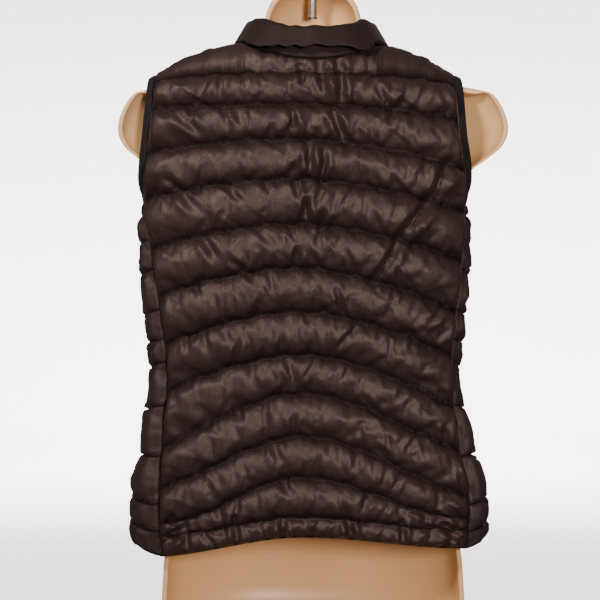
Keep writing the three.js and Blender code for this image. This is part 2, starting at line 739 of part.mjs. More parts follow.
function sliderGeometry() {
  const { width, height, plate, front, back, eyeY, eyeHole } = slider;
  const frontPlate = block(width, plate, height, 0, front + plate / 2, 0);
  const backPlate = block(width, plate, height, 0, back - plate / 2, 0);
  const wedge = block(3, front - back + plate, 3.4, 0, (front + back) / 2, height / 2 - 1.7);
  const bridge = block(2.2, eyeY + 2.4 - front, 7.5, 0, (eyeY + 2.4 + front) / 2 + 0.3, 0);
  const body = toSolid(frontPlate).add(toSolid(backPlate)).add(toSolid(wedge)).add(toSolid(bridge));
  return fromSolid(body.subtract(toSolid(crossRod(eyeHole, 6, 0, eyeY, 0))));
}

// The pull hangs from a rod through the slider's eye, which is this piece's origin.
const pull = { rod: 1, arm: 1.5, gap: 3.4, width: 7, length: 24, thick: 1.6 };

function pullGeometry() {
  const { rod, arm, gap, width, length, thick } = pull;
  const armX = gap / 2 + arm / 2;
  const armLength = 8.5;
  return joined(
    crossRod(rod, gap + 2 * arm, 0, 0, 0),
    block(arm, 2, armLength, -armX, 0, -armLength / 2 + 1),
    block(arm, 2, armLength, armX, 0, -armLength / 2 + 1),
    block(width, thick, length - 6, 0, 0, -(6 + length) / 2),
  );
}

// Height at which the vest's back, at this place across, bears on the form's rim.
function restHeight(x) {
  const covered = clamp(x, -shoulderTip - bindingWidth, shoulderTip + bindingWidth);
  const start = ridgeHeight(covered) - backRound;
  const depth = torsoPoint(covered, start, -1).y;
  return start + backRound * Math.sqrt(1 - (rimY / depth) ** 2) - shoulderClearance;
}

// The form's wall: a row of points across at each table row, bent up or down to its rim.
// Over the covered shoulders the rim keeps just under the vest, and near their tips a little more.
function formSurface(inset, wall) {
  const columns = 20;
  const covered = { from: 560, to: 604, lift: 4, tipHalf: 160, tipDrop: 3.2 };
  const rimHeight = (rimZ, half, side) => {
    if (rimZ <= covered.from || rimZ >= covered.to) return rimZ;
    const drop = half > covered.tipHalf ? covered.tipDrop : 0;
    return Math.min(rimZ + covered.lift, restHeight(formX + side * half) - drop);
  };
  const rowAt = ({ half, rimZ, z, depth, round }) => Array.from({ length: columns + 1 }, (_, c) => {
    const across = -Math.cos(Math.PI * c / columns);
    const x = across * Math.max(half - inset, 2);
    const rise = z + (rimHeight(rimZ, half, Math.sign(across) || 1) - z) * across ** 2;
    const crown = clamp((rise - 600) / 90, 0, 1);
    const foot = clamp((-60 - rise) / 70, 0, 1);
    const shoulder = rimZ > covered.from && rimZ < covered.to ? inset * across ** 4 : 0;
    const y = rimY + Math.max(0, depth - wall) * (1 - Math.abs(across) ** round) ** (1 / round);
    return vec(formX + x, y, rise + inset * (foot ** 2 - crown ** 2) - shoulder);
  });
  return formRows.map(rowAt);
}

function formGeometry() {
  const outer = formSurface(0, 0);
  const inner = formSurface(rimWidth, formWall);
  const shell = wallGeometry(outer, inner, () => true);
  const bore = new THREE.CylinderGeometry(studRadius + 0.4, studRadius + 0.4, 60, 20)
    .rotateX(Math.PI / 2).translate(formX, studY, crownZ);
  return fromSolid(toSolid(shell).subtract(toSolid(bore)));
}

// The stud below and above the crown, turned round its own axis.
function studGeometry() {
  const profile = [
    { r: 0, z: 649 },
    { r: studRadius, z: 649 },
    { r: studRadius, z: crownZ - 15 },
    { r: 9, z: crownZ - 15 },
    { r: 9, z: crownZ - 12 },
    { r: studRadius, z: crownZ - 12 },
    { r: studRadius, z: crownZ + 0.8 },
    { r: 9, z: crownZ + 0.8 },
    { r: 9, z: crownZ + 4 },
    { r: 4.5, z: crownZ + 8 },
    { r: 4.5, z: crownZ + 14 },
    { r: 0, z: crownZ + 14 },
  ];
  return new THREE.LatheGeometry(profile.map(({ r, z }) => new THREE.Vector2(r, z)), 20)
    .rotateX(Math.PI / 2)
    .translate(formX, studY, 0);
}

// The wire rises from the stud, swings right and goes over the loop to its open tip.
function wireGeometry() {
  const foot = 704.3;
  const start = [vec(0, 0, foot), vec(0, 0, foot + 6), vec(7, 0, foot + 13), vec(17, 0, foot + 22)];
  const loop = Array.from({ length: 8 }, (_, i) => {
    const angle = lerp(-0.25, Math.PI + 0.45, i / 7);
    return vec(loopRadius * Math.cos(angle), 0, loopZ + loopRadius * Math.sin(angle));
  });
  const route = new THREE.CatmullRomCurve3([...start, ...loop], false, 'centripetal');
  const round = new THREE.Shape().absarc(0, 0, wireRadius, 0, Math.PI * 2);
  return new THREE.ExtrudeGeometry(round, { steps: 34, curveSegments: 10, extrudePath: route })
    .translate(formX, studY, 0);
}

function addPiece(parent, name, geometry, finish) {
  const mesh = new THREE.Mesh(geometry, new THREE.MeshStandardMaterial(finish));
  mesh.name = name;
  parent.add(mesh);
  return mesh;
}

const group = new THREE.Group();
const sideShares = [0, 0.067, 0.25, 0.5, 0.75, 0.933, 1];
const frontShares = [0, 0.06, 0.2, 0.35, 0.5, 0.65, 0.8, 0.94, 1];
const backPanel = quiltedPanel((column, row) => backSpot(columnShare(column, row), row),
  backLines.length + 1, topColumns.length);
const sides = [{ side: -1, name: 'left' }, { side: 1, name: 'right' }];

addPiece(group, 'back_panel', backPanel, clothFinish);
for (const { side, name } of sides) {
  const sidePanel = quiltedPanel((column, row) => sideSpot(sideShares[column], row, side),
    sideLines.length + 1, sideShares.length);
  addPiece(group, `side_panel_${name}`, sidePanel, clothFinish);
  const frontPanel = quiltedPanel((column, row) => frontSpot(frontShares[column], row, side),
    frontLines.length + topChannels, frontShares.length);
  addPiece(group, `front_panel_${name}`, frontPanel, clothFinish);
  addPiece(group, `armhole_binding_${name}`, bindingGeometry(side), trimFinish);
}
addPiece(group, 'collar', collarGeometry(), clothFinish);

const line = zipLine();
const tapeInner = chainHalf + seamGap;
const tapeOuter = zipHalf - 2 * seamGap;
addPiece(group, 'zip_tape_left', zipStrip(line, -tapeOuter, -tapeInner, 0.3, 1.3), trimFinish);
addPiece(group, 'zip_tape_right', zipStrip(line, tapeInner, tapeOuter, 0.3, 1.3), trimFinish);
addPiece(group, 'zip_chain', zipStrip(line.slice(0, -1), -chainHalf, chainHalf, -0.3, 2.2), zipFinish);

// The slider is closed at the top of the chain and leans with the collar.
const top = line[line.length - 2];
const below = line[line.length - 3];
const lean = Math.atan2(top.normal.z, top.normal.y);
const downChain = below.point.clone().sub(top.point).normalize();
const seat = top.point.clone().addScaledVector(downChain, slider.chainTop);
const sliderSeat = new THREE.Group();
sliderSeat.position.set(neckX, seat.y, seat.z);
sliderSeat.rotation.x = lean;
group.add(sliderSeat);
addPiece(sliderSeat, 'zip_slider', sliderGeometry(), steelFinish);
const tab = addPiece(sliderSeat, 'zip_pull', pullGeometry(), steelFinish);
tab.position.set(0, slider.eyeY, 0);
tab.rotation.x = -lean;

addPiece(group, 'torso_form', formGeometry(), formFinish);
addPiece(group, 'hook_stud', studGeometry(), steelFinish);
addPiece(group, 'hook_wire', wireGeometry(), steelFinish);

group.position.set(-formX, -studY, -hookZ);
export default group;
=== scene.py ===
import math

import bpy
import numpy as np
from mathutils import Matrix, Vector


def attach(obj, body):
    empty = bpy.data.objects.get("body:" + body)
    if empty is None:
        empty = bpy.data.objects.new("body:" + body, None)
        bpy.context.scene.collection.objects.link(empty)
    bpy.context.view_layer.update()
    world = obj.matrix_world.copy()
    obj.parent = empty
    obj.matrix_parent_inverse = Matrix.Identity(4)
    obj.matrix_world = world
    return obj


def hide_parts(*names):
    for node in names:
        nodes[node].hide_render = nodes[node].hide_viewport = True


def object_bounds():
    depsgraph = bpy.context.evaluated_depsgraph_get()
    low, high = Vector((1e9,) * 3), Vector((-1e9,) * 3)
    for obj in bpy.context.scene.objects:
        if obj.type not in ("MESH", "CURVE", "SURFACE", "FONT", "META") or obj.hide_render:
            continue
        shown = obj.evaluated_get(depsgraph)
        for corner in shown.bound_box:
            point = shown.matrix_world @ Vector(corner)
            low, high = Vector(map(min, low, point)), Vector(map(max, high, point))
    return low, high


# A women's puffer vest with arched quilting, worn by a hollow-backed hanging torso form.
# Shapes are worked out in millimetres up from the back hem, with the wearer facing +Y,
# and moved to the frame's own origin, the hook's bearing point, as they become meshes.
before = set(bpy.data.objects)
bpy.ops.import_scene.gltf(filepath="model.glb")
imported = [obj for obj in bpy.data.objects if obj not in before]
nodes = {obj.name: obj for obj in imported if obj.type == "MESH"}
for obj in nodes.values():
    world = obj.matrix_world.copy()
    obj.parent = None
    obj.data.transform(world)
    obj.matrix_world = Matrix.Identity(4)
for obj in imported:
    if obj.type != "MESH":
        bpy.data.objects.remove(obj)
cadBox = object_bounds()
origin = np.array([-10.0, -4.0, -761.5])


def table(names, rows):
    return dict(zip(names.split(), np.array(rows, float).T))


cloth = {"wall": 2.4, "fullChannel": 42.0, "seamGap": 0.3, "seamAllowance": 0.22,
         "sideTaper": 10.0, "tipTaper": 40.0, "topFlat": 0.55, "sideSeam": 5.0}
# How far the back's stitch lines stray from their arcs, and how that changes from line to line
wander = {"depth": 1.7, "length": 46.0, "perLine": 61, "seed": 3, "fade": 0.08}
# How far each kind of panel swells, and how flat the swell is on top
swells = {"back": {"puff": 12.5, "power": 0.78}, "front": {"puff": 10.5, "power": 0.8},
          "side": {"puff": 7.0, "power": 0.4}}
neck = {"x": 8.0, "half": 82.0, "pointZ": 610.0, "backDrop": 22.0, "frontDrop": 80.0}
shoulder = {"tip": 181.0, "slope": 0.18, "curve": 0.00165, "backRound": 65.0, "frontRound": 90.0}
hull = {"backPower": 3.0, "frontPower": 2.3, "frontSeamShare": 0.42}
armhole = {"underarmZ": 409.0, "joinZ": 432.0, "width": 10.0}
zipper = {"half": 8.0}

# Inside sizes of the worn vest at each height
bodySections = table("z half back front centre", [
    (-10, 207, 50, 92, 5.5), (35, 213, 52, 96, 5.5), (70, 209, 51, 95, 5), (108, 199, 47, 91, 3.5),
    (147, 192.5, 42, 84, 1.5), (202, 182, 38, 76, 0), (250, 186.5, 40, 82, 0), (301, 191, 43, 93, 0),
    (363, 195.5, 46, 104, 0), (425, 196, 48, 101, 0), (450, 203, 49, 96, 0), (480, 206, 49, 86, 0),
    (530, 210, 48, 71, 0), (620, 214, 45, 60, 0)])
# Side edges of the back panel
backEdges = table("z left right", [
    (-10, 169, 192), (30, 173, 194), (70, 173, 195), (105, 172, 188), (150, 169.5, 182), (200, 165, 178),
    (250, 168, 179), (300, 175, 184), (345, 182, 189), (400, 192, 193.5), (432, 194.5, 194.5),
    (467, 191, 191.5), (500, 186, 185), (545, 182, 182), (590, 181, 181)])
frontArmhole = table("z out", [(432, 185.1), (455, 174), (490, 167), (525, 167.5), (555, 173), (580, 181)])
# Stitch lines of the back, hem first: heights at the middle and the ends, and how level the ends run
backLines = table("middle left right level", [
    (20, -6, 3, 0.5), (44, 21, 27, 0.8), (90, 34, 40, 0.9), (138, 76, 65, 0.5), (189, 123, 118, 0.3),
    (236, 190, 168, 0), (287, 248, 232, 0), (339, 306, 286, 0), (391, 362, 348, 0), (444, 423, 406, 0),
    (491, 477, 456, 0), (532, 530, 517, 0), (571, 565, 560, 0)])
arc = {"peak": 0.46, "power": 1.7}
sideLines = table("back front", [
    (-4, 32), (24, 54), (56, 72), (113, 108), (174, 152), (227, 200), (254, 240), (290, 266),
    (339, 312), (374, 354), (405, 395)])
frontLines = table("out zip", [
    (32, 30), (54, 52), (102, 94), (150, 140), (198, 186), (246, 232), (293, 279), (340, 327),
    (387, 375), (432, 420), (470, 459), (505, 495), (536, 530)])
lastBackLine = len(backLines["middle"]) - 1
lastSideLine = len(sideLines["back"]) - 1
lastFrontLine = len(frontLines["out"]) - 1
topChannels = 2


def lerp(a, b, t):
    return a + (b - a) * t


def smoothstep(x, low, high):
    t = np.clip((x - low) / (high - low), 0, 1)
    return t * t * (3 - 2 * t)


def readColumn(rows, key, z):
    # A smooth curve through a table's column, which passes each row at its neighbours' slope.
    zs, values = rows["z"], rows[key]
    at = np.clip(z, zs[0], zs[-1])
    slopes = np.r_[values[1] - values[0], values[2:] - values[:-2], values[-1] - values[-2]]
    slopes = slopes / np.r_[zs[1] - zs[0], zs[2:] - zs[:-2], zs[-1] - zs[-2]]
    i = np.clip(np.searchsorted(zs, at) - 1, 0, len(zs) - 2)
    span = zs[i + 1] - zs[i]
    t = (at - zs[i]) / span
    straight = lerp(values[i], values[i + 1], t * t * (3 - 2 * t))
    return straight + t * (1 - t) * span * (slopes[i] * (1 - t) - slopes[i + 1] * t)


def alongRows(rows, key, row):
    return np.interp(row, np.arange(len(rows[key])), rows[key])


def shoulderHeight(x):
    beyond = np.abs(x) - neck["half"]
    return neck["pointZ"] - shoulder["slope"] * beyond - shoulder["curve"] * np.maximum(0, beyond) ** 2


def neckTop(x):
    share = np.clip((x - neck["x"] + neck["half"]) / (2 * neck["half"]), 0, 1)
    ends = [shoulderHeight(neck["x"] + side * neck["half"]) for side in (-1, 1)]
    return lerp(ends[0], ends[1], share)


def ridgeHeight(x):
    # The shoulder ridge, carried on over the neck as round * (1 - reach^2)^2, which leaves it level.
    reach = np.minimum(1, np.abs(x - neck["x"]) / neck["half"])
    over = neckTop(x) + shoulder["backRound"] * (1 - reach ** 2) ** 2
    return np.where(reach < 1, over, shoulderHeight(x))


def roundOf(face):
    return shoulder["backRound"] if face < 0 else shoulder["frontRound"]


def lengthUp(x, z, face):
    # Length up the body: the height itself, then the arc's length on the shoulder's round.
    start = ridgeHeight(x) - roundOf(face)
    turn = np.arcsin(np.clip((z - start) / roundOf(face), 0, 1))
    return np.where(z <= start, z, start + roundOf(face) * turn)


def heightOf(x, length, face):
    start = ridgeHeight(x) - roundOf(face)
    over = start + roundOf(face) * np.sin((length - start) / roundOf(face))
    return np.where(length < start, length, over)


def torsoPoint(x, length, face):
    # A superellipse round the body at each height, turning in over the shoulder's round.
    start = ridgeHeight(x) - roundOf(face)
    turn = np.maximum(0, (length - start) / roundOf(face))
    z = np.where(turn > 0, start + roundOf(face) * np.sin(turn), length)
    across = np.abs(x - readColumn(bodySections, "centre", z)) / readColumn(bodySections, "half", z)
    power = hull["backPower"] if face < 0 else hull["frontPower"]
    depth = readColumn(bodySections, "back" if face < 0 else "front", z)
    y = face * depth * (1 - np.minimum(1, across) ** power) ** (1 / power) * np.cos(turn)
    return np.stack([x, y, z], axis=-1)


def sidePoint(y, z, side):
    back = y < 0
    power = np.where(back, hull["backPower"], hull["frontPower"])
    depth = np.where(back, readColumn(bodySections, "back", z), readColumn(bodySections, "front", z))
    reach = np.minimum(1, np.abs(y) / depth)
    x = readColumn(bodySections, "centre", z)
    x = x + side * readColumn(bodySections, "half", z) * (1 - reach ** power) ** (1 / power)
    return np.stack([x, y, z], axis=-1)


def unit(v):
    return v / np.maximum(np.linalg.norm(v, axis=-1, keepdims=True), 1e-9)


def waves(places, size, seed, rough=0.5, octaves=3):
    # Smooth random values along one direction: sums of sines with drawn phases and lengths.
    draw = np.random.default_rng(seed)
    total = np.zeros_like(places)
    for octave in range(octaves):
        for _ in range(4):
            length = size / 2 ** octave * draw.uniform(0.7, 1.4)
            total = total + rough ** octave * np.sin(2 * np.pi * places / length + draw.uniform(0, 6.28))
    return total / 4


def withNormal(surface, u, v, flip):
    # Each point with its outward direction, from small steps along both parameters.
    step = 0.4
    along = surface(u + step, v) - surface(u - step, v)
    up = surface(u, v + step) - surface(u, v - step)
    return surface(u, v), unit(np.cross(along, up)) * flip


def backLineHeight(share, row):
    # Ends fall away from the peak as a power of the distance from it, or level out as a cosine.
    reach = np.where(share < arc["peak"], (arc["peak"] - share) / arc["peak"],
                     (share - arc["peak"]) / (1 - arc["peak"]))
    level = alongRows(backLines, "level", row)
    fall = lerp(reach ** arc["power"], (1 - np.cos(np.pi * reach)) / 2, level)
    left, right = (alongRows(backLines, key, row) for key in ("left", "right"))
    end = np.where(share < arc["peak"], left, right)
    stray = wander["depth"] * waves(share * 2 * shoulder["tip"] + wander["perLine"] * row,
                                    wander["length"], wander["seed"])
    fade = smoothstep(share, 0, wander["fade"]) * smoothstep(1 - share, 0, wander["fade"])
    return lerp(alongRows(backLines, "middle", row), end, fall) + stray * fade * np.minimum(1, row)


def necklineHeight(x, face):
    reach = np.minimum(1, np.abs(x - neck["x"]) / neck["half"])
    if face < 0:
        return neckTop(x) - neck["backDrop"] * (1 - reach ** 2.2)
    return neckTop(x) - neck["frontDrop"] * np.sqrt(1 - reach ** 2)


def topLength(x, face):
    onNeck = np.abs(x - neck["x"]) < neck["half"]
    seam = ridgeHeight(x) - roundOf(face) + roundOf(face) * math.pi / 2 - cloth["seamGap"]
    return np.where(onNeck, lengthUp(x, necklineHeight(x, face), face), seam)


def topShare(x):
    return (x + shoulder["tip"]) / (2 * shoulder["tip"])


def neckPlaces(count):
    return neck["x"] + neck["half"] * np.sin(np.pi * (np.linspace(0, 1, count) - 0.5))


def topColumns():
    # Shares across the top edge at even lengths along it, over the shoulders and round the neck.
    x = np.sort(np.r_[np.linspace(-1, 1, 801) * shoulder["tip"], neckPlaces(401)])
    steps = np.linalg.norm(np.diff(torsoPoint(x, topLength(x, -1), -1), axis=0), axis=-1)
    length = np.r_[0, np.cumsum(steps)]
    return length / length[-1], topShare(x)


def backSpot(column, row):
    # The columns are even on the stitch lines, and even along the top edge as well.
    onTop = np.interp(column, *evenTop)
    return backShareSpot(lerp(column, onTop, smoothstep(row, lastBackLine - 3, lastBackLine + 1)), row)


def backShareSpot(share, row):
    lowRow = np.minimum(row, lastBackLine)
    above = np.maximum(0, row - lastBackLine)
    edges = []
    for side, key, end in ((-1, "left", 0.0), (1, "right", 1.0)):
        z = backLineHeight(np.full_like(row, end), lowRow)
        z = lerp(z, ridgeHeight(side * shoulder["tip"]) - 1, above)
        edges.append(side * (readColumn(backEdges, key, z) - cloth["seamAllowance"]))
    x = lerp(edges[0], edges[1], share)
    line = lengthUp(x, backLineHeight(share, lowRow), -1)
    length = lerp(line, topLength(x, -1), above)
    return withNormal(lambda u, v: torsoPoint(u, v, -1), x, length, 1)


evenTop = topColumns()


def frontEdge(z, side):
    half = readColumn(bodySections, "half", z)
    seam = half * (1 - hull["frontSeamShare"] ** hull["frontPower"]) ** (1 / hull["frontPower"])
    out = np.where(z < armhole["joinZ"], seam, readColumn(frontArmhole, "out", z))
    return readColumn(bodySections, "centre", z) + side * (out - cloth["seamAllowance"])


def frontLineSpot(share, row, side):
    corner = necklineHeight(np.array(neck["x"] + side * zipper["half"]), 1) - frontLines["zip"][-1]
    zipZ = alongRows(frontLines, "zip", row) + corner * np.clip(row - lastFrontLine + 1, 0, 1)
    outZ = alongRows(frontLines, "out", row)
    x = lerp(frontEdge(outZ, side), neck["x"] + side * zipper["half"], share)
    return np.stack([x, lengthUp(x, lerp(outZ, zipZ, share), 1)])


def yokeSpot(share, rise, side):
    # A patch between four edges: both pairs of edges blended, less the blend of the corners.
    last = np.full_like(share, lastFrontLine)
    low = frontLineSpot(share, last, side)
    tip = side * shoulder["tip"]
    seamX = lerp(tip, neck["x"] + side * neck["half"], share)
    top = np.stack([seamX, topLength(seamX + side * 0.01, 1)])
    outStart = frontLineSpot(np.zeros_like(share), last, side)
    outEnd = np.stack([np.full_like(share, tip), np.full_like(share, topLength(np.array(tip), 1))])
    outLength = lerp(outStart[1], outEnd[1], rise)
    out = np.stack([frontEdge(heightOf(np.array(tip), outLength, 1), side), outLength])

    def neckAt(turn):
        x = neck["x"] + side * np.maximum(zipper["half"], neck["half"] * np.sin(turn * np.pi / 2))
        onCurve = lengthUp(x, necklineHeight(x, 1), 1)
        return np.stack([x, np.where(turn >= 1, topLength(x + side * 0.01, 1), onCurve)])

    edge = neckAt(rise)
    lowCorner = lerp(outStart, neckAt(np.zeros_like(rise)), share)
    topCorner = lerp(outEnd, neckAt(np.ones_like(rise)), share)
    return lerp(low, top, rise) + lerp(out, edge, share) - lerp(lowCorner, topCorner, rise)


def frontSpot(share, row, side):
    rise = np.clip((row - lastFrontLine) / topChannels, 0, 1)
    below = frontLineSpot(share, np.minimum(row, lastFrontLine), side)
    x, length = np.where(row > lastFrontLine, yokeSpot(share, rise, side), below)
    return withNormal(lambda u, v: torsoPoint(u, v, 1), x, length, -1)


def sideSpot(share, row, side):
    lowRow = np.minimum(row, lastSideLine)
    above = np.maximum(0, row - lastSideLine)
    line = lerp(alongRows(sideLines, "back", lowRow), alongRows(sideLines, "front", lowRow), share)
    hemEnd = backLines["left" if side < 0 else "right"][0] - sideLines["back"][0]
    line = line + hemEnd * (1 - share) * np.clip(1 - lowRow, 0, 1)
    dip = np.sqrt(np.clip(1 - (2 * share - 1) ** 2, 0, 1))
    z = lerp(line, armhole["joinZ"] - (armhole["joinZ"] - armhole["underarmZ"]) * dip, above)
    edge = readColumn(backEdges, "left" if side < 0 else "right", z)
    backY = torsoPoint(side * edge, z, -1)[..., 1] + cloth["seamAllowance"]
    frontY = hull["frontSeamShare"] * readColumn(bodySections, "front", z) - cloth["seamAllowance"]
    return withNormal(lambda u, v: sidePoint(u, v, side), lerp(backY, frontY, share), z, side)


def gridFaces(rows, columns, closedRows=False, closedColumns=False):
    r = np.arange(rows if closedRows else rows - 1)
    c = np.arange(columns if closedColumns else columns - 1)
    r, c = np.meshgrid(r, c, indexing="ij")
    down, right = (r + 1) % rows, (c + 1) % columns
    corners = [r * columns + c, r * columns + right, down * columns + right, down * columns + c]
    return np.stack(corners, axis=-1).reshape(-1, 4)


def newMesh(name, points, faces, material):
    mesh = bpy.data.meshes.new(name)
    mesh.from_pydata((np.asarray(points).reshape(-1, 3) + origin) / 1000, [], [list(f) for f in faces])
    mesh.polygons.foreach_set("use_smooth", np.full(len(mesh.polygons), True))
    mesh.update()
    piece = bpy.data.objects.new(name, mesh)
    bpy.context.scene.collection.objects.link(piece)
    if material:
        mesh.materials.append(material)
    return piece


def wallFaces(rows, columns):
    # An outer grid, the same grid inside it turned over, and a rim round all four edges.
    count = rows * columns
    outer = gridFaces(rows, columns)
    inner = outer[:, ::-1] + count
    ids = np.arange(count).reshape(rows, columns)
    loop = np.r_[ids[0, :-1], ids[:-1, -1], ids[-1, :0:-1], ids[:0:-1, 0]]
    ahead = np.roll(loop, -1)
    rim = np.stack([ahead, loop, loop + count, ahead + count], axis=-1)
    return np.concatenate([outer, inner, rim])


def facingOut(points, faces):
    # Six times the enclosed volume, fan by fan: if it is negative every face is turned over.
    p = np.asarray(points).reshape(-1, 3)
    a, b, c, d = (p[faces[:, k]] for k in range(4))
    volume = np.einsum("ij,ij->", a, np.cross(b, c)) + np.einsum("ij,ij->", a, np.cross(c, d))
    return faces if volume > 0 else faces[:, ::-1]


def settleCloth(name, outer, pinned, settings):
    # Blender's cloth: the stitch lines are pinned, the fabric between them is cut a little
    # larger than its place and swells under the filling's pressure, so that it puckers.
    rows, columns = outer.shape[:2]
    piece = newMesh(name, outer, gridFaces(rows, columns), None)
    group = piece.vertex_groups.new(name="stitched")
    group.add([int(i) for i in np.flatnonzero(pinned.ravel())], 1.0, "REPLACE")
    modifier = piece.modifiers.new("cloth", "CLOTH")
    fabric = modifier.settings
    fabric.quality = settings["quality"]
    fabric.mass = settings["mass"]
    fabric.tension_stiffness = settings["stretch"]
    fabric.compression_stiffness = settings["stretch"]
    fabric.shear_stiffness = settings["shear"]
    fabric.bending_stiffness = settings["bend"]
    fabric.air_damping = settings["air"]
    fabric.vertex_group_mass = "stitched"
    fabric.use_pressure = True
    fabric.uniform_pressure_force = settings["pressure"]
    fabric.shrink_min = -settings["spare"]
    fabric.shrink_max = -settings["spare"]
    fabric.effector_weights.gravity = 0
    modifier.collision_settings.use_collision = False
    modifier.collision_settings.use_self_collision = False
    modifier.point_cache.frame_end = settings["frames"] + 1
    scene = bpy.context.scene
    for step in range(1, settings["frames"] + 1):
        scene.frame_set(step)
    shaped = piece.evaluated_get(bpy.context.evaluated_depsgraph_get()).data
    co = np.empty(rows * columns * 3)
    shaped.vertices.foreach_get("co", co)
    settled = co.reshape(rows, columns, 3) * 1000 - origin
    scene.frame_set(1)
    bpy.data.objects.remove(piece)
    move = settled - outer
    reach = np.linalg.norm(move, axis=-1, keepdims=True)
    return outer + move * np.minimum(1, settings["farthest"] / np.maximum(reach, 1e-6))


quilting = {
    "spacing": 3.0, "quality": 5, "mass": 0.15, "stretch": 12.0, "shear": 4.0, "bend": 0.02, "air": 3.0,
    "pressure": 3.0, "spare": 0.038, "frames": 24, "farthest": 9.0,
}


def channelRows(heights, spacing):
    # Row values: each channel gets as many as its height needs, and one falls on every stitch line.
    rows = [line + np.arange(count) / count for line, count in
            enumerate(np.maximum(6, np.ceil(heights / spacing)).astype(int))]
    return np.r_[np.concatenate(rows), len(heights)]


def distanceTo(points, curve):
    # The least distance from every point to a curve's closely spaced points.
    apart = points[..., None, :] - curve
    return np.sqrt(np.min(np.einsum("...i,...i->...", apart, apart), axis=-1))


creases = {"apart": 30.0, "shortest": 12.0, "longest": 36.0, "shallow": 1.4, "deep": 4.6,
           "narrow": 2.6, "wide": 4.6, "slant": 0.9, "ridge": 0.6, "ridgeAway": 1.9,
           "placedDepth": 2.0, "placedWidth": 0.85}

# The main creases of the back: ends in millimetres across and up, depth and half width
backCreases = table("x0 z0 x1 z1 depth width", [
    (16, 584, 22, 548, 4.2, 5.0), (40, 586, 44, 536, 5.0, 5.5), (30, 528, 48, 486, 4.0, 5.0),
    (-6, 578, -2, 552, 2.8, 4.0), (-18, 530, -10, 500, 2.6, 4.0), (2, 492, 8, 450, 3.4, 4.5),
    (24, 470, 16, 428, 3.4, 4.5), (-14, 448, -8, 420, 2.6, 4.0), (0, 420, 8, 378, 3.2, 4.5),
    (22, 404, 14, 366, 2.8, 4.0), (-20, 396, -12, 372, 2.2, 3.5),
    (168, 466, 150, 425, 3.8, 6.5), (150, 425, 114, 378, 4.2, 7.0), (114, 378, 96, 346, 3.8, 6.0),
    (96, 346, 72, 313, 3.0, 5.5), (-160, 446, -128, 408, 2.8, 5.5), (-150, 520, -120, 496, 2.2, 5.0),
    (120, 540, 96, 512, 2.6, 5.0), (-86, 348, -58, 322, 2.2, 4.5), (60, 268, 34, 240, 2.2, 4.5),
    (-142, 40, -138, 8, 4.0, 4.5), (-82, 44, -80, 14, 3.6, 4.5), (-26, 46, -26, 18, 3.6, 4.5),
    (52, 44, 54, 18, 3.8, 4.5), (114, 40, 116, 14, 3.8, 4.5),
    (-170, 6, -142, 34, 3.4, 5.0), (162, 34, 188, 12, 3.4, 5.0)])


def channelCreases(spotAt, lineCount, width, seed):
    # Short creases that run off the stitch lines, up or down, and slant towards the middle.
    draw = np.random.default_rng(seed)
    perChannel = max(2, round(width / creases["apart"]))
    count = perChannel * (lineCount - 1)
    line = np.repeat(np.arange(lineCount - 1), perChannel)
    column = (np.tile(np.arange(perChannel), lineCount - 1) + draw.uniform(0.1, 0.9, count)) / perChannel
    fromTop = draw.uniform(0, 1, count) < 0.5
    start, normal = spotAt(column, line + fromTop.astype(float))
    across = np.sign(0.5 - column) * creases["slant"] * draw.uniform(0.1, 1.2, count)
    other = spotAt(column, line + 1.0 - fromTop)[0]
    length = draw.uniform(creases["shortest"], creases["longest"], count)
    along = unit(other - start)
    beside = unit(np.cross(normal, along))
    beside = beside * np.sign(beside[:, [int(np.argmax(np.abs(beside).mean(axis=0)))]] + 1e-9)
    end = start + unit(along + beside * across[:, None]) * length[:, None]
    return {"start": start - along * 2, "end": end,
            "depth": draw.uniform(creases["shallow"], creases["deep"], count),
            "width": draw.uniform(creases["narrow"], creases["wide"], count)}


def creaseLift(points, marks):
    # Each crease is a trough with a soft ridge beside it, from the distance d to its segment:
    # -depth * exp(-(d / width)^2) + ridge * depth * exp(-((d - away) / width)^2), faded at both ends.
    flat = points.reshape(-1, 3)
    lift = np.zeros(len(flat))
    for start, end, depth, width in zip(marks["start"], marks["end"], marks["depth"], marks["width"]):
        run = end - start
        at = (flat - start) @ run / (run @ run)
        apart = np.linalg.norm(flat - start - np.clip(at, 0, 1)[:, None] * run, axis=-1) / width
        fade = smoothstep(at, -0.25, 0.25) * (1 - smoothstep(at, 0.6, 1.25))
        hump = creases["ridge"] * np.exp(-(apart - creases["ridgeAway"]) ** 2)
        lift += depth * fade * (hump - np.exp(-apart ** 2))
    return lift.reshape(points.shape[:-1])


def onBack(marks):
    # Creases given across and up are laid on the back panel's inside.
    ends = {}
    for key, x, z in (("start", "x0", "z0"), ("end", "x1", "z1")):
        x, z = marks[x], np.minimum(marks[z], ridgeHeight(marks[x]) - 4)
        ends[key] = torsoPoint(x, lengthUp(x, z, -1), -1)
    return {**ends, "depth": marks["depth"] * creases["placedDepth"],
            "width": marks["width"] * creases["placedWidth"]}


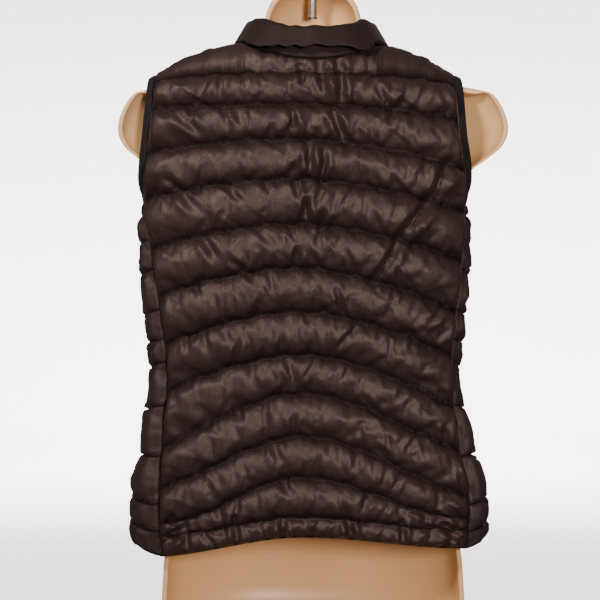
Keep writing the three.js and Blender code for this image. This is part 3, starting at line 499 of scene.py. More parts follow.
def quiltedPanel(name, kind, spotAt, lineCount, across, material, seed, roundTop=0, placed=None):
    # Outer points stand off the inside by the stitched wall, and by a swell in each channel.
    middle = np.array([0.5])
    tops = np.array([spotAt(middle, np.array([float(k)]))[0][0] for k in range(lineCount)])
    heights = np.linalg.norm(np.diff(tops, axis=0), axis=1)
    rows = channelRows(heights, quilting["spacing"])
    columns = np.linspace(0, 1, across)
    row, column = np.meshgrid(rows, columns, indexing="ij")
    inside, normal = spotAt(column, row)
    line = np.minimum(np.floor(row), lineCount - 2)
    low, high = spotAt(column, line)[0], spotAt(column, line + 1)[0]
    height = np.linalg.norm(high - low, axis=-1)
    swell = np.maximum(0, np.sin(np.pi * (row - line))) ** swells[kind]["power"]
    for line0 in range(lineCount - 1 - roundTop, lineCount - 1):
        # Round a neckline the swell follows the distance from both seams, not the rows.
        inChannel = (rows >= line0) & (rows <= line0 + 1)
        fine = np.linspace(0, 1, 500)
        below, above = (distanceTo(inside[inChannel], spotAt(fine, np.full_like(fine, k))[0])
                        for k in (line0, line0 + 1))
        apart = np.maximum(below + above, 1e-6)
        swell[inChannel] = np.sin(np.pi * below / apart) ** swells[kind]["power"]
        height[inChannel] = apart
    swell[np.isclose(row, np.round(row))] = 0
    fromSide = np.minimum(column, 1 - column) * across * quilting["spacing"]
    nearTop = smoothstep(row, lineCount - 2.5, lineCount - 1.2) * (kind == "back")
    taper = cloth["sideTaper"] + cloth["tipTaper"] * nearTop
    edge = smoothstep(fromSide / taper, 0, 1)
    flatTop = 1 - cloth["topFlat"] * smoothstep(row, lineCount - 2.1, lineCount - 1.7) * (roundTop > 0)
    puff = swells[kind]["puff"] * swell * edge * flatTop * np.minimum(1, height / cloth["fullChannel"])
    places = column * across * quilting["spacing"]
    pucker = waves(places + 40 * np.sin(line * 7.3), 15, seed) * waves(row * 31 + places / 9, 40, seed + 1)
    outer = inside + normal * (cloth["wall"] + puff + 0.5 * swell * edge * pucker)[..., None]
    pinned = np.isclose(row, np.round(row)) | (column == 0) | (column == 1)
    outer = settleCloth(name + "Skin", outer, pinned, quilting)
    lift = creaseLift(inside, channelCreases(spotAt, lineCount, across * quilting["spacing"], seed + 50))
    if placed:
        lift = lift + creaseLift(inside, placed)
    room = swell ** 0.35 * edge * np.minimum(1, height / 20)
    outer = outer + normal * (np.maximum(lift, -puff - 1.2) * room)[..., None]
    points = np.concatenate([outer.reshape(-1, 3), inside.reshape(-1, 3)])
    faces = facingOut(points, wallFaces(*row.shape))
    piece = newMesh(name, points, faces, material)
    # How near each point is to the stitch lines and side seams; the material makes puckers from it, and painted
    # shade that darkens the cloth there
    near = np.maximum(1 - np.minimum(swell, 1), 0.8 * (1 - smoothstep(fromSide, 0, cloth["sideSeam"])))
    for key, values in (("seamAlong", places), ("seamRow", row), ("seamNear", near)):
        layer = piece.data.attributes.new(key, "FLOAT", "POINT")
        layer.data.foreach_set("value", np.tile(values.ravel(), 2))
    print(name, "rows", row.shape, "faces", len(faces))
    return piece


def mathNode(tree, kind, first, second):
    node = tree.nodes.new("ShaderNodeMath")
    node.operation = kind
    for socket, value in zip(node.inputs, (first, second)):
        if isinstance(value, (int, float)):
            socket.default_value = value
        else:
            tree.links.new(value, socket)
    return node.outputs["Value"]


def addSeams(tree, shader, ramp, bump, settings):
    # Fine puckers that run off the stitch lines, noise drawn out across them and fading away
    # from them, and painted shade down in the seams, on the colour and the gloss: colour * (1 - shade *
    # near^2).
    along, row, near = (tree.nodes.new("ShaderNodeAttribute") for _ in range(3))
    for node, key in ((along, "seamAlong"), (row, "seamRow"), (near, "seamNear")):
        node.attribute_name = key
    place = tree.nodes.new("ShaderNodeCombineXYZ")
    for node, key, socket in ((along, "puckerAlong", "X"), (row, "puckerAcross", "Y")):
        scaled = mathNode(tree, "MULTIPLY", node.outputs["Fac"], settings[key])
        tree.links.new(scaled, place.inputs[socket])
    puckers = tree.nodes.new("ShaderNodeTexNoise")
    puckers.inputs["Scale"].default_value = 1
    puckers.inputs["Detail"].default_value = 3
    tree.links.new(place.outputs["Vector"], puckers.inputs["Vector"])
    height = mathNode(tree, "MULTIPLY", puckers.outputs["Fac"],
                      mathNode(tree, "ADD", near.outputs["Fac"], settings["puckerFar"]))
    relief = tree.nodes.new("ShaderNodeBump")
    relief.inputs["Strength"].default_value = settings["puckerStrength"]
    relief.inputs["Distance"].default_value = settings["puckerDepth"]
    tree.links.new(height, relief.inputs["Height"])
    tree.links.new(relief.outputs["Normal"], bump.inputs["Normal"])
    # Painted shade: the colour and the gloss are darkened near the stitch lines and side seams, where the
    # valleys would fall into shade
    squared = mathNode(tree, "POWER", near.outputs["Fac"], 2)
    light = mathNode(tree, "SUBTRACT", 1.0, mathNode(tree, "MULTIPLY", squared, settings["paintedSeamShade"]))
    shade = tree.nodes.new("ShaderNodeMix")
    shade.data_type = "RGBA"
    shade.blend_type = "MULTIPLY"
    shade.inputs[0].default_value = 1
    tree.links.new(ramp.outputs["Color"], shade.inputs[6])
    tree.links.new(light, shade.inputs[7])
    tree.links.new(shade.outputs[2], shader.inputs["Base Color"])
    gloss = mathNode(tree, "MULTIPLY", light, settings["specular"])
    tree.links.new(gloss, shader.inputs["Specular IOR Level"])


def fabricMaterial(name, settings):
    material = bpy.data.materials.new(name)
    material.use_nodes = True
    tree = material.node_tree
    shader = tree.nodes["Principled BSDF"]
    place = tree.nodes.new("ShaderNodeTexCoord")
    cloudy = tree.nodes.new("ShaderNodeTexNoise")
    cloudy.inputs["Scale"].default_value = settings["cloudScale"]
    cloudy.inputs["Detail"].default_value = 4
    ramp = tree.nodes.new("ShaderNodeValToRGB")
    ramp.color_ramp.elements[0].color = (*settings["dark"], 1)
    ramp.color_ramp.elements[1].color = (*settings["light"], 1)
    tree.links.new(place.outputs["Object"], cloudy.inputs["Vector"])
    tree.links.new(cloudy.outputs["Fac"], ramp.inputs["Fac"])
    tree.links.new(ramp.outputs["Color"], shader.inputs["Base Color"])
    crinkle = tree.nodes.new("ShaderNodeTexNoise")
    crinkle.inputs["Scale"].default_value = settings["crinkleScale"]
    crinkle.inputs["Detail"].default_value = 3
    weave = tree.nodes.new("ShaderNodeTexNoise")
    weave.inputs["Scale"].default_value = settings["weaveScale"]
    weave.inputs["Detail"].default_value = 1
    tree.links.new(place.outputs["Object"], crinkle.inputs["Vector"])
    tree.links.new(place.outputs["Object"], weave.inputs["Vector"])
    bumpLarge = tree.nodes.new("ShaderNodeBump")
    bumpLarge.inputs["Strength"].default_value = settings["crinkleStrength"]
    bumpLarge.inputs["Distance"].default_value = settings["crinkleDepth"]
    bumpFine = tree.nodes.new("ShaderNodeBump")
    bumpFine.inputs["Strength"].default_value = settings["weaveStrength"]
    bumpFine.inputs["Distance"].default_value = settings["weaveDepth"]
    tree.links.new(crinkle.outputs["Fac"], bumpLarge.inputs["Height"])
    tree.links.new(weave.outputs["Fac"], bumpFine.inputs["Height"])
    tree.links.new(bumpLarge.outputs["Normal"], bumpFine.inputs["Normal"])
    tree.links.new(bumpFine.outputs["Normal"], shader.inputs["Normal"])
    if "puckerDepth" in settings:
        addSeams(tree, shader, ramp, bumpLarge, settings)
    shader.inputs["Roughness"].default_value = settings["roughness"]
    shader.inputs["Sheen Weight"].default_value = settings["sheen"]
    shader.inputs["Sheen Roughness"].default_value = 0.4
    shader.inputs["Sheen Tint"].default_value = (*settings["sheenTint"], 1)
    shader.inputs["Specular IOR Level"].default_value = settings["specular"]
    shader.inputs["Specular Tint"].default_value = (*settings["glossTint"], 1)
    return material


nylon = fabricMaterial("nylon", {
    "dark": (0.0165, 0.0106, 0.0100), "light": (0.032, 0.0190, 0.0178), "cloudScale": 9, "roughness": 0.53,
    "crinkleScale": 160, "crinkleStrength": 0.35, "crinkleDepth": 0.0012,
    "weaveScale": 1800, "weaveStrength": 0.15, "weaveDepth": 0.0002,
    "puckerAlong": 0.13, "puckerAcross": 1.4, "puckerFar": 0.1, "puckerStrength": 0.5, "puckerDepth": 0.004,
    # paintedSeamShade: how far the colour and gloss are darkened in the seams, as painted shade
    "paintedSeamShade": 0.85,
    "sheen": 0.1, "sheenTint": (0.8, 0.5, 0.48), "specular": 0.48, "glossTint": (1, 0.76, 0.74)})
matteNylon = fabricMaterial("collarNylon", {
    "dark": (0.012, 0.0072, 0.0068), "light": (0.020, 0.0120, 0.0110), "cloudScale": 30, "roughness": 0.62,
    "crinkleScale": 240, "crinkleStrength": 0.25, "crinkleDepth": 0.0008,
    "weaveScale": 1800, "weaveStrength": 0.15, "weaveDepth": 0.0002,
    "sheen": 0.15, "sheenTint": (0.8, 0.6, 0.55), "specular": 0.25, "glossTint": (1, 0.82, 0.78)})

threadMaterial = fabricMaterial("thread", {
    "dark": (0.006, 0.004, 0.004), "light": (0.012, 0.008, 0.008), "cloudScale": 60, "roughness": 0.5,
    "crinkleScale": 2500, "crinkleStrength": 0.2, "crinkleDepth": 0.0002,
    "weaveScale": 4000, "weaveStrength": 0.1, "weaveDepth": 0.0001,
    "sheen": 0.1, "sheenTint": (0.8, 0.6, 0.55), "specular": 0.4, "glossTint": (1, 0.85, 0.8)})
stitching = {"pitch": 3.3, "length": 2.3, "radius": 0.36, "lift": 0.3, "sides": 6}


def repeated(shape, faces, centres, frames):
    # One small shape at every centre: centre + shape x frame, its faces numbered on from copy to copy.
    points = centres[:, None] + np.einsum("pk,nkj->npj", shape, frames)
    steps = np.arange(len(centres))[:, None, None] * len(shape)
    return points.reshape(-1, 3), (faces[None] + steps).reshape(-1, 4)


def capsule(length, radius, sides):
    # Rings along x of radius * share, drawn in at both ends and closed with a flat fan.
    at = np.array([-0.5, -0.38, 0, 0.38, 0.5]) * length
    share = np.array([0.3, 0.85, 1, 0.85, 0.3]) * radius
    angle = np.arange(sides) / sides * 2 * np.pi
    x = np.broadcast_to(at[:, None], (5, sides))
    shape = np.stack([x, share[:, None] * np.cos(angle), share[:, None] * np.sin(angle)], axis=-1)
    last = 4 * sides
    ends = [[0, 3, 2, 1], [0, 5, 4, 3]]
    ends += [[last, last + 1, last + 2, last + 3], [last, last + 3, last + 4, last + 5]]
    faces = np.concatenate([gridFaces(5, sides, closedColumns=True), ends])
    return shape.reshape(-1, 3), facingOut(shape, faces)


def stitches(name, spotAt, lines):
    # Threads lie end to end along each stitch line, at even lengths along it.
    shape, faces = capsule(stitching["length"], stitching["radius"], stitching["sides"])
    fine = np.linspace(0, 1, 900)
    centres, frames = [], []
    for line in lines:
        points, normals = spotAt(fine, np.full_like(fine, float(line)))
        points = points + normals * (cloth["wall"] + stitching["lift"])
        length = np.r_[0, np.cumsum(np.linalg.norm(np.diff(points, axis=0), axis=-1))]
        places = np.arange(stitching["pitch"], length[-1] - stitching["pitch"], stitching["pitch"])
        middle, ahead, facing = (
            np.stack([np.interp(places + shift, length, values[:, k]) for k in range(3)], axis=-1)
            for values, shift in ((points, 0), (points, 0.8), (normals, 0)))
        along = unit(ahead - middle)
        beside = unit(np.cross(facing, along))
        centres.append(middle)
        frames.append(np.stack([along, beside, np.cross(along, beside)], axis=1))
    points, faces = repeated(shape, faces, np.concatenate(centres), np.concatenate(frames))
    return newMesh(name, points, faces, threadMaterial)


print("panels")
panels = {}
panels["back_panel"] = quiltedPanel("backPanel", "back", backSpot, lastBackLine + 2, 133, nylon, 11,
                                    roundTop=1, placed=onBack(backCreases))
for side, sideName, seed in ((-1, "left", 23), (1, "right", 37)):
    panels["side_panel_" + sideName] = quiltedPanel(
        "sidePanel" + sideName.title(), "side", lambda c, r, s=side: sideSpot(c, r, s),
        lastSideLine + 2, 29, nylon, seed)
    panels["front_panel_" + sideName] = quiltedPanel(
        "frontPanel" + sideName.title(), "front", lambda c, r, s=side: frontSpot(c, r, s),
        lastFrontLine + topChannels + 1, 65, nylon, seed + 3, roundTop=topChannels)
for node, piece in panels.items():
    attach(piece, "vest")
    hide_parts(node)

print("stitches")
seams = [stitches("stitchesBack", backSpot, range(1, lastBackLine + 1))]
for side, sideName in ((-1, "Left"), (1, "Right")):
    seams.append(stitches("stitchesSide" + sideName, lambda c, r, s=side: sideSpot(c, r, s),
                          range(1, lastSideLine + 1)))
    seams.append(stitches("stitchesFront" + sideName, lambda c, r, s=side: frontSpot(c, r, s),
                          range(1, lastFrontLine + topChannels)))
for piece in seams:
    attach(piece, "vest")

print("collar")
collar = {
    "height": 78.0, "backHeight": 72.5, "wall": 4.0,
    "standBack": 29.5, "standShoulder": 25.5, "cornerRise": 4.5, "cornerDrop": 15.0,
    "foldRadius": 7.5, "turn": 3.0,
    "leanBack": 0.06, "leanSide": 0.42, "steps": 46, "backCount": 121, "frontCount": 36,
    "padding": 5.0, "pucker": 1.9, "puckerLength": 17.0,
}


def necklineSpots():
    # The neckline from the zip round the back to the zip, on the panels' own edges, with each
    # spot's turn from the middle of the back.
    rows = np.linspace(lastFrontLine, lastFrontLine + topChannels, collar["frontCount"] + 1)[:-1]
    ones = np.ones_like(rows)
    leftPoints, leftNormals = frontSpot(ones, rows, -1)
    rightPoints, rightNormals = frontSpot(ones, rows, 1)
    places = neckPlaces(collar["backCount"])
    backPoints, backNormals = backShareSpot(topShare(places), np.full_like(places, lastBackLine + 1.0))
    points = np.concatenate([leftPoints, backPoints, rightPoints[::-1]])
    normals = np.concatenate([leftNormals, backNormals, rightNormals[::-1]])
    reach = np.clip((points[:, 0] - neck["x"]) / neck["half"], -1, 1)
    quarter = np.arcsin(reach)
    turn = np.where(points[:, 1] < 0, quarter, np.sign(reach) * np.pi - quarter)
    return points, normals, turn


def collarSurface():
    # Each section leaves the neckline along the cloth, leans in as it rises, and where it passes
    # the fold's height goes round an arc and down outwards.
    points, normals, turn = necklineSpots()
    away = np.abs(turn) / np.pi
    sideways = 1 - smoothstep(away, 0.85, 0.96)
    out = unit(np.stack([np.sin(turn) * sideways, -np.cos(turn), np.zeros_like(turn)], axis=-1))
    along = np.gradient(points, axis=0)
    start = np.cross(unit(along), normals)
    steep = np.abs(start[:, 2]) > 0.2
    wrong = (steep & (start[:, 2] < 0)) | (~steep & (np.einsum("ij,ij->i", start, out) > 0))
    start[wrong] *= -1
    start[:, 0] *= sideways
    start = unit(start)
    up = np.array([0, 0, 1.0])
    lean = lerp(collar["leanBack"], collar["leanSide"], np.abs(np.sin(turn)))[:, None]
    upright = unit(up - lean * out)
    outward = unit(out + lean * up)
    uneven = 2.2 * waves(turn * 60, 46, 5) * (1 - smoothstep(away, 0.5, 0.8))
    corners = collar["cornerRise"] * np.exp(-((away - 0.3) / 0.07) ** 2)
    stand = lerp(collar["standBack"], collar["standShoulder"], smoothstep(away, 0, 0.5)) + uneven + corners
    height = lerp(collar["backHeight"], collar["height"], smoothstep(away, 0.3, 0.5))
    height = height + collar["cornerDrop"] * np.exp(-((away - 0.25) / 0.09) ** 2)
    foldAt = lerp(stand, collar["height"] + 12, smoothstep(away, 0.45, 0.85))
    stride = height / collar["steps"]
    at = points + start * (cloth["seamGap"] + 0.2)
    inner, outer = [at], [at + normals * collar["wall"] * 0.6]
    run = np.r_[0, np.cumsum(np.linalg.norm(np.diff(points, axis=0), axis=-1))]
    edgeWaves = waves(run, collar["puckerLength"], 71) * (1 - smoothstep(away, 0.6, 0.85))
    for k in range(collar["steps"]):
        v = (k + 0.5) * stride
        angle = np.clip((v - foldAt) / collar["foldRadius"], 0, collar["turn"])[:, None]
        rise = smoothstep(v, 0, 9)[:, None]
        folded = upright * np.cos(angle) + outward * np.sin(angle)
        at = at + np.where(angle > 0, folded, unit(lerp(start, upright, rise))) * stride[:, None]
        side = np.where(angle > 0, outward * np.cos(angle) - upright * np.sin(angle),
                        unit(lerp(normals, outward, rise)))
        fromEdge = height - (k + 1) * stride
        swell = np.sqrt(np.maximum(0, 1 - np.maximum(0, 1 - fromEdge / 2.5) ** 2)) * 0.7 + 0.3
        hang = np.clip((v - foldAt) / np.maximum(height - foldAt, 8), 0, 1)
        padded = collar["padding"] * np.sin(np.pi * hang) * (1 - smoothstep(away, 0.55, 0.8))
        pucker = collar["pucker"] * smoothstep(fromEdge, 22, 6) * smoothstep(fromEdge, 0, 3) * edgeWaves
        inner.append(at)
        outer.append(at + side * (collar["wall"] * swell + padded + pucker)[:, None])
    return np.array(inner), np.array(outer)


collarInner, collarOuter = collarSurface()
collarPoints = np.concatenate([collarOuter.reshape(-1, 3), collarInner.reshape(-1, 3)])
collarFaces = facingOut(collarPoints, wallFaces(*collarOuter.shape[:2]))
collarPiece = newMesh("collarPadded", collarPoints, collarFaces, matteNylon)
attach(collarPiece, "vest")
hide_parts("collar")

print("bindings")
binding = {"width": 10.0, "thick": 4.0, "rings": 260, "points": 14}


def armholeEdge(side):
    # The armhole's edge, up the back, over the shoulder, down the front and under the arm,
    # spaced evenly by length.
    tip = side * shoulder["tip"]
    rise = lerp(armhole["joinZ"], ridgeHeight(np.array(tip)), np.sin(np.pi / 2 * np.linspace(0, 1, 80)))
    backX = side * readColumn(backEdges, "left" if side < 0 else "right", rise)
    back = withNormal(lambda u, v: torsoPoint(u, v, -1), backX, lengthUp(np.array(tip), rise, -1), 1)
    down = rise[::-1]
    front = withNormal(lambda u, v: torsoPoint(u, v, 1), frontEdge(down, side),
                       lengthUp(np.array(tip), down, 1), -1)
    under = np.linspace(1, 0, 80)
    arm = sideSpot(under, np.full_like(under, lastSideLine + 1.0), side)
    points = np.concatenate([back[0], front[0], arm[0]])
    normals = np.concatenate([back[1], front[1], arm[1]])
    steps = np.linalg.norm(np.roll(points, -1, axis=0) - points, axis=1)
    length = np.r_[0, np.cumsum(steps)]
    places = np.linspace(0, length[-1], binding["rings"], endpoint=False)
    around = np.concatenate([points, points[:1]])
    directions = np.concatenate([normals, normals[:1]])
    even = np.stack([np.interp(places, length, around[:, k]) for k in range(3)], axis=-1)
    facing = np.stack([np.interp(places, length, directions[:, k]) for k in range(3)], axis=-1)
    for _ in range(6):
        even = (np.roll(even, 1, axis=0) + 2 * even + np.roll(even, -1, axis=0)) / 4
        facing = (np.roll(facing, 1, axis=0) + 2 * facing + np.roll(facing, -1, axis=0)) / 4
    return even, unit(facing)


def armholeBinding(side, name):
    # A flat rounded strip just inside the edge: a squared ellipse carried along it.
    edge, normal = armholeEdge(side)
    tangent = unit(np.roll(edge, -1, axis=0) - np.roll(edge, 1, axis=0))
    inward = unit(np.cross(tangent, normal))
    hole = np.array([side * 190.0, 10.0, 495.0])
    inward[np.einsum("ij,ij->i", inward, hole - edge) < 0] *= -1
    middle = edge + inward * (cloth["seamGap"] + 0.6 + binding["width"] / 2) + normal * cloth["wall"] / 2
    angle = (np.arange(binding["points"]) + 0.5) / binding["points"] * 2 * np.pi
    reach = np.sign(np.cos(angle)) * np.abs(np.cos(angle)) ** 0.6 * binding["width"] / 2
    lift = np.sin(angle) * binding["thick"] / 2
    rings = middle[:, None] + inward[:, None] * reach[:, None] + normal[:, None] * lift[:, None]
    faces = gridFaces(*rings.shape[:2], closedRows=True, closedColumns=True)
    return newMesh(name, rings, facingOut(rings, faces), knit)


knit = fabricMaterial("bindingKnit", {
    "dark": (0.009, 0.0065, 0.008), "light": (0.018, 0.0125, 0.015), "cloudScale": 60, "roughness": 0.85,
    "crinkleScale": 500, "crinkleStrength": 0.5, "crinkleDepth": 0.0006,
    "weaveScale": 2200, "weaveStrength": 0.3, "weaveDepth": 0.0003,
    "sheen": 0.12, "sheenTint": (0.7, 0.65, 0.8), "specular": 0.2, "glossTint": (1, 1, 1)})
for side, sideName in ((-1, "left"), (1, "right")):
    piece = armholeBinding(side, "bindingKnit" + sideName.title())
    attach(piece, "vest")
    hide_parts("armhole_binding_" + sideName)

print("form")
form = {"x": 10.0, "wall": 3.0, "rim": 6.0, "rimY": -14.0, "columns": 132, "perRow": 5, "clearance": 2.2,
        "lipSteps": 5, "lipDepth": 1.6}
formRows = table("half rimZ z depth round", [
    (120, -130, -130, 0, 2.3), (158, -120, -127, 46, 2.3), (176, -103, -115, 78, 2.3), (184, -75, -88, 98, 2.3),
    (183, -40, -48, 101, 2.3), (180, -5, -5, 97, 2.3), (166, 70, 70, 88, 2.3), (146, 135, 135, 80, 2.3),
    (136, 195, 195, 76, 2.3), (141, 260, 255, 85, 2.3), (153, 325, 320, 99, 2.3), (166, 385, 380, 106, 2.2),
    (176, 432, 420, 101, 2.1), (190, 456, 445, 96, 1.9), (211, 472, 468, 91, 1.7), (230, 488, 488, 85, 1.6),
    (238, 508, 507, 80, 1.55), (233, 531, 524, 75, 1.55), (219, 552, 540, 70, 1.55), (200, 565, 553, 66, 1.55),
    (172, 583, 566, 62, 1.55), (140, 592, 578, 58, 1.6), (108, 598, 588, 55, 1.7), (82, 600, 596, 53, 1.8),
    (68, 608, 607, 52, 1.9), (61, 622, 622, 52, 2), (59, 641, 641, 53, 2.1), (54, 659, 660, 52, 2.2),
    (45, 672, 674, 48, 2.3), (35, 681, 683, 41, 2.3), (24, 687, 688, 30, 2.3), (12, 690, 690, 0, 2.3)])


def restHeight(x):
    # Where the vest's back bears on the rim, at this place across.
    reach = shoulder["tip"] + armhole["width"]
    covered = np.clip(x, -reach, reach)
    start = ridgeHeight(covered) - shoulder["backRound"]
    depth = torsoPoint(covered, start, -1)[..., 1]
    return start + shoulder["backRound"] * np.sqrt(1 - (form["rimY"] / depth) ** 2) - form["clearance"]


def formGrid(inset, wall):
    # Half a superellipse before the rim at every row, its rim bent up or down to the outline.
    count = len(formRows["half"])
    rows = np.linspace(0, count - 1, (count - 1) * form["perRow"] + 1)
    covered = (formRows["rimZ"] > 560) & (formRows["rimZ"] < 604)
    drop = np.where(formRows["half"] > 160, 3.2, 0)
    byRow = dict(formRows, z=np.arange(count, dtype=float), middle=formRows["z"],
                 covered=covered.astype(float))
    for side, key in ((-1, "leftRim"), (1, "rightRim")):
        rest = restHeight(form["x"] + side * formRows["half"]) - drop
        byRow[key] = np.where(covered, np.minimum(formRows["rimZ"] + 4, rest), formRows["rimZ"])
    half, middle, depth, round_, covered, leftRim, rightRim = (
        readColumn(byRow, key, rows)[:, None]
        for key in ("half", "middle", "depth", "round", "covered", "leftRim", "rightRim"))
    across = -np.cos(np.pi * np.arange(form["columns"] + 1) / form["columns"])[None, :]
    edge = np.where(across < 0, leftRim, rightRim)
    rise = middle + (edge - middle) * across ** 2
    crown = np.clip((rise - 600) / 90, 0, 1)
    foot = np.clip((-60 - rise) / 70, 0, 1)
    lift = inset * (foot ** 2 - crown ** 2) - np.clip(covered, 0, 1) * inset * across ** 4
    x = form["x"] + across * np.maximum(half - inset, 2)
    bulge = (1 - np.abs(across) ** round_) ** (1 / round_)
    y = form["rimY"] + np.maximum(0, np.maximum(depth, 0) - wall) * bulge
    return np.stack([x, y, rise + lift], axis=-1)


def torsoForm():
    # The wall between two such grids, with a rounded lip of half a circle along the rim.
    outer = formGrid(0, 0)
    inner = formGrid(form["rim"], form["wall"])
    turn = (math.pi * np.arange(1, form["lipSteps"]) / form["lipSteps"])[None, :, None]

    def lip(start, end):
        between = lerp(end[:, None], start[:, None], (1 + np.cos(turn)) / 2)
        return between - form["lipDepth"] * np.sin(turn) * np.array([0, 1, 0])

    right, left = lip(outer[:, -1], inner[:, -1]), lip(inner[:, 0], outer[:, 0])
    loop = np.concatenate([outer, right, inner[:, ::-1], left], axis=1)
    rows, count = loop.shape[:2]
    faces = gridFaces(rows, count, closedColumns=True)
    caps = []
    columns = form["columns"] + 1
    for row, flip in ((0, False), (rows - 1, True)):
        outerIds = row * count + np.arange(columns)
        innerIds = row * count + columns + form["lipSteps"] - 1 + np.arange(columns)[::-1]
        cap = np.stack([outerIds[:-1], outerIds[1:], innerIds[1:], innerIds[:-1]], axis=-1)
        caps.append(cap[:, ::-1] if flip else cap)
    faces = np.concatenate([faces, *caps])
    return newMesh("torsoPlastic", loop, facingOut(loop, faces), plastic)


def plasticMaterial():
    material = bpy.data.materials.new("formPlastic")
    material.use_nodes = True
    tree = material.node_tree
    shader = tree.nodes["Principled BSDF"]
    place = tree.nodes.new("ShaderNodeTexCoord")
    mottle = tree.nodes.new("ShaderNodeTexNoise")
    mottle.inputs["Scale"].default_value = 9
    mottle.inputs["Detail"].default_value = 4
    ramp = tree.nodes.new("ShaderNodeValToRGB")
    ramp.color_ramp.elements[0].color = (0.76, 0.44, 0.20, 1)
    ramp.color_ramp.elements[1].color = (0.87, 0.54, 0.27, 1)
    grain = tree.nodes.new("ShaderNodeTexNoise")
    grain.inputs["Scale"].default_value = 420
    grain.inputs["Detail"].default_value = 2
    bump = tree.nodes.new("ShaderNodeBump")
    bump.inputs["Strength"].default_value = 0.08
    bump.inputs["Distance"].default_value = 0.0004
    tree.links.new(place.outputs["Object"], mottle.inputs["Vector"])
    tree.links.new(place.outputs["Object"], grain.inputs["Vector"])
    tree.links.new(mottle.outputs["Fac"], ramp.inputs["Fac"])
    tree.links.new(ramp.outputs["Color"], shader.inputs["Base Color"])
    tree.links.new(grain.outputs["Fac"], bump.inputs["Height"])
    tree.links.new(bump.outputs["Normal"], shader.inputs["Normal"])
    shader.inputs["Roughness"].default_value = 0.38
    shader.inputs["Subsurface Weight"].default_value = 0.05
    shader.inputs["Subsurface Radius"].default_value = (0.006, 0.003, 0.002)
    return material


plastic = plasticMaterial()
formPiece = torsoForm()
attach(formPiece, "vest")
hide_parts("torso_form")


def steelMaterial(name, color, roughness):
    material = bpy.data.materials.new(name)
    material.use_nodes = True
    tree = material.node_tree
    shader = tree.nodes["Principled BSDF"]
    place = tree.nodes.new("ShaderNodeTexCoord")
    scratches = tree.nodes.new("ShaderNodeTexNoise")
    scratches.inputs["Scale"].default_value = 700
    scratches.inputs["Detail"].default_value = 3
    ramp = tree.nodes.new("ShaderNodeValToRGB")
    ramp.color_ramp.elements[0].color = (roughness * 0.8,) * 3 + (1,)
    ramp.color_ramp.elements[1].color = (min(1, roughness * 1.3),) * 3 + (1,)
    tree.links.new(place.outputs["Object"], scratches.inputs["Vector"])
    tree.links.new(scratches.outputs["Fac"], ramp.inputs["Fac"])
    tree.links.new(ramp.outputs["Color"], shader.inputs["Roughness"])
    shader.inputs["Base Color"].default_value = (*color, 1)
    shader.inputs["Metallic"].default_value = 1
    return material


steel = steelMaterial("hookSteel", (0.62, 0.6, 0.57), 0.3)
darkMetal = steelMaterial("sliderMetal", (0.12, 0.115, 0.115), 0.42)
teethMetal = steelMaterial("teethMetal", (0.05, 0.046, 0.046), 0.45)
for name, material in (("hook_wire", steel), ("zip_slider", darkMetal),
                       ("zip_pull", darkMetal), ("zip_tape_left", knit), ("zip_tape_right", knit)):
    for slot in nodes[name].material_slots:
        slot.material = material

print("zip teeth and stud")
teeth = {"pitch": 2.4, "length": 2.7, "radius": 0.62, "aside": 0.55, "lift": 0.95,
         "cordHalf": 1.9, "cordThick": 0.7, "chestSteps": 26, "collarEnd": 0.785}


def zipCourse():
    # Up the chest's middle line, then up the collar's end to just below the zip's top.
    low = frontLines["zip"][0] + 1
    z = np.linspace(low, neckTop(np.array(neck["x"])) - neck["frontDrop"], teeth["chestSteps"] + 1)
    x = np.full_like(z, neck["x"])
    chest, chestOut = withNormal(lambda u, v: torsoPoint(u, v, 1), x, z, -1)
    count = int(collar["steps"] * teeth["collarEnd"])
    up = collarInner[2:count, 0].copy()
    upOut = collarOuter[2:count, 0] - up
    up[:, 0] = neck["x"]
    upOut[:, 0] = 0
    points = np.concatenate([chest, up])
    normals = np.concatenate([chestOut, unit(upOut)])
    length = np.r_[0, np.cumsum(np.linalg.norm(np.diff(points, axis=0), axis=-1))]
    return points, normals, length


def zipTeeth():
    # Small rounded bars lie across the course, left and right by turns, on one flat cord.
    points, normals, length = zipCourse()
    places = np.arange(1.2, length[-1] - 1.2, teeth["pitch"] / 2)
    middle, facing = (np.stack([np.interp(places, length, values[:, k]) for k in range(3)], axis=-1)
                      for values in (points, normals))
    facing = unit(facing)
    across = np.tile([1.0, 0, 0], (len(places), 1))
    along = np.cross(facing, across)
    aside = np.where(np.arange(len(places)) % 2 == 0, -1, 1)[:, None] * teeth["aside"]
    centres = middle + facing * teeth["lift"] + across * aside
    shape, faces = capsule(teeth["length"], teeth["radius"], 6)
    teethPoints, teethFaces = repeated(shape, faces, centres, np.stack([across, along, facing], axis=1))
    corners = [(-1, 0), (1, 0), (1, 1), (-1, 1)]
    strip = np.stack([points + normals * (0.3 + teeth["cordThick"] * high)
                      + np.array([1.0, 0, 0]) * teeth["cordHalf"] * wide for wide, high in corners], axis=1)
    count = len(points)
    ends = np.array([[0, 1, 2, 3], [4 * count - 1, 4 * count - 2, 4 * count - 3, 4 * count - 4]])
    stripFaces = facingOut(strip, np.concatenate([gridFaces(count, 4, closedColumns=True), ends]))
    return newMesh("zipTeeth", np.concatenate([teethPoints, strip.reshape(-1, 3)]),
                   np.concatenate([teethFaces, stripFaces + len(teethPoints)]), teethMetal)


stud = {"x": 10.0, "y": 4.0, "crown": 690.0, "foot": 649.0, "radius": 5.7, "washer": 9.0, "neck": 4.5,
        "pitch": 1.75, "threadDepth": 0.55}


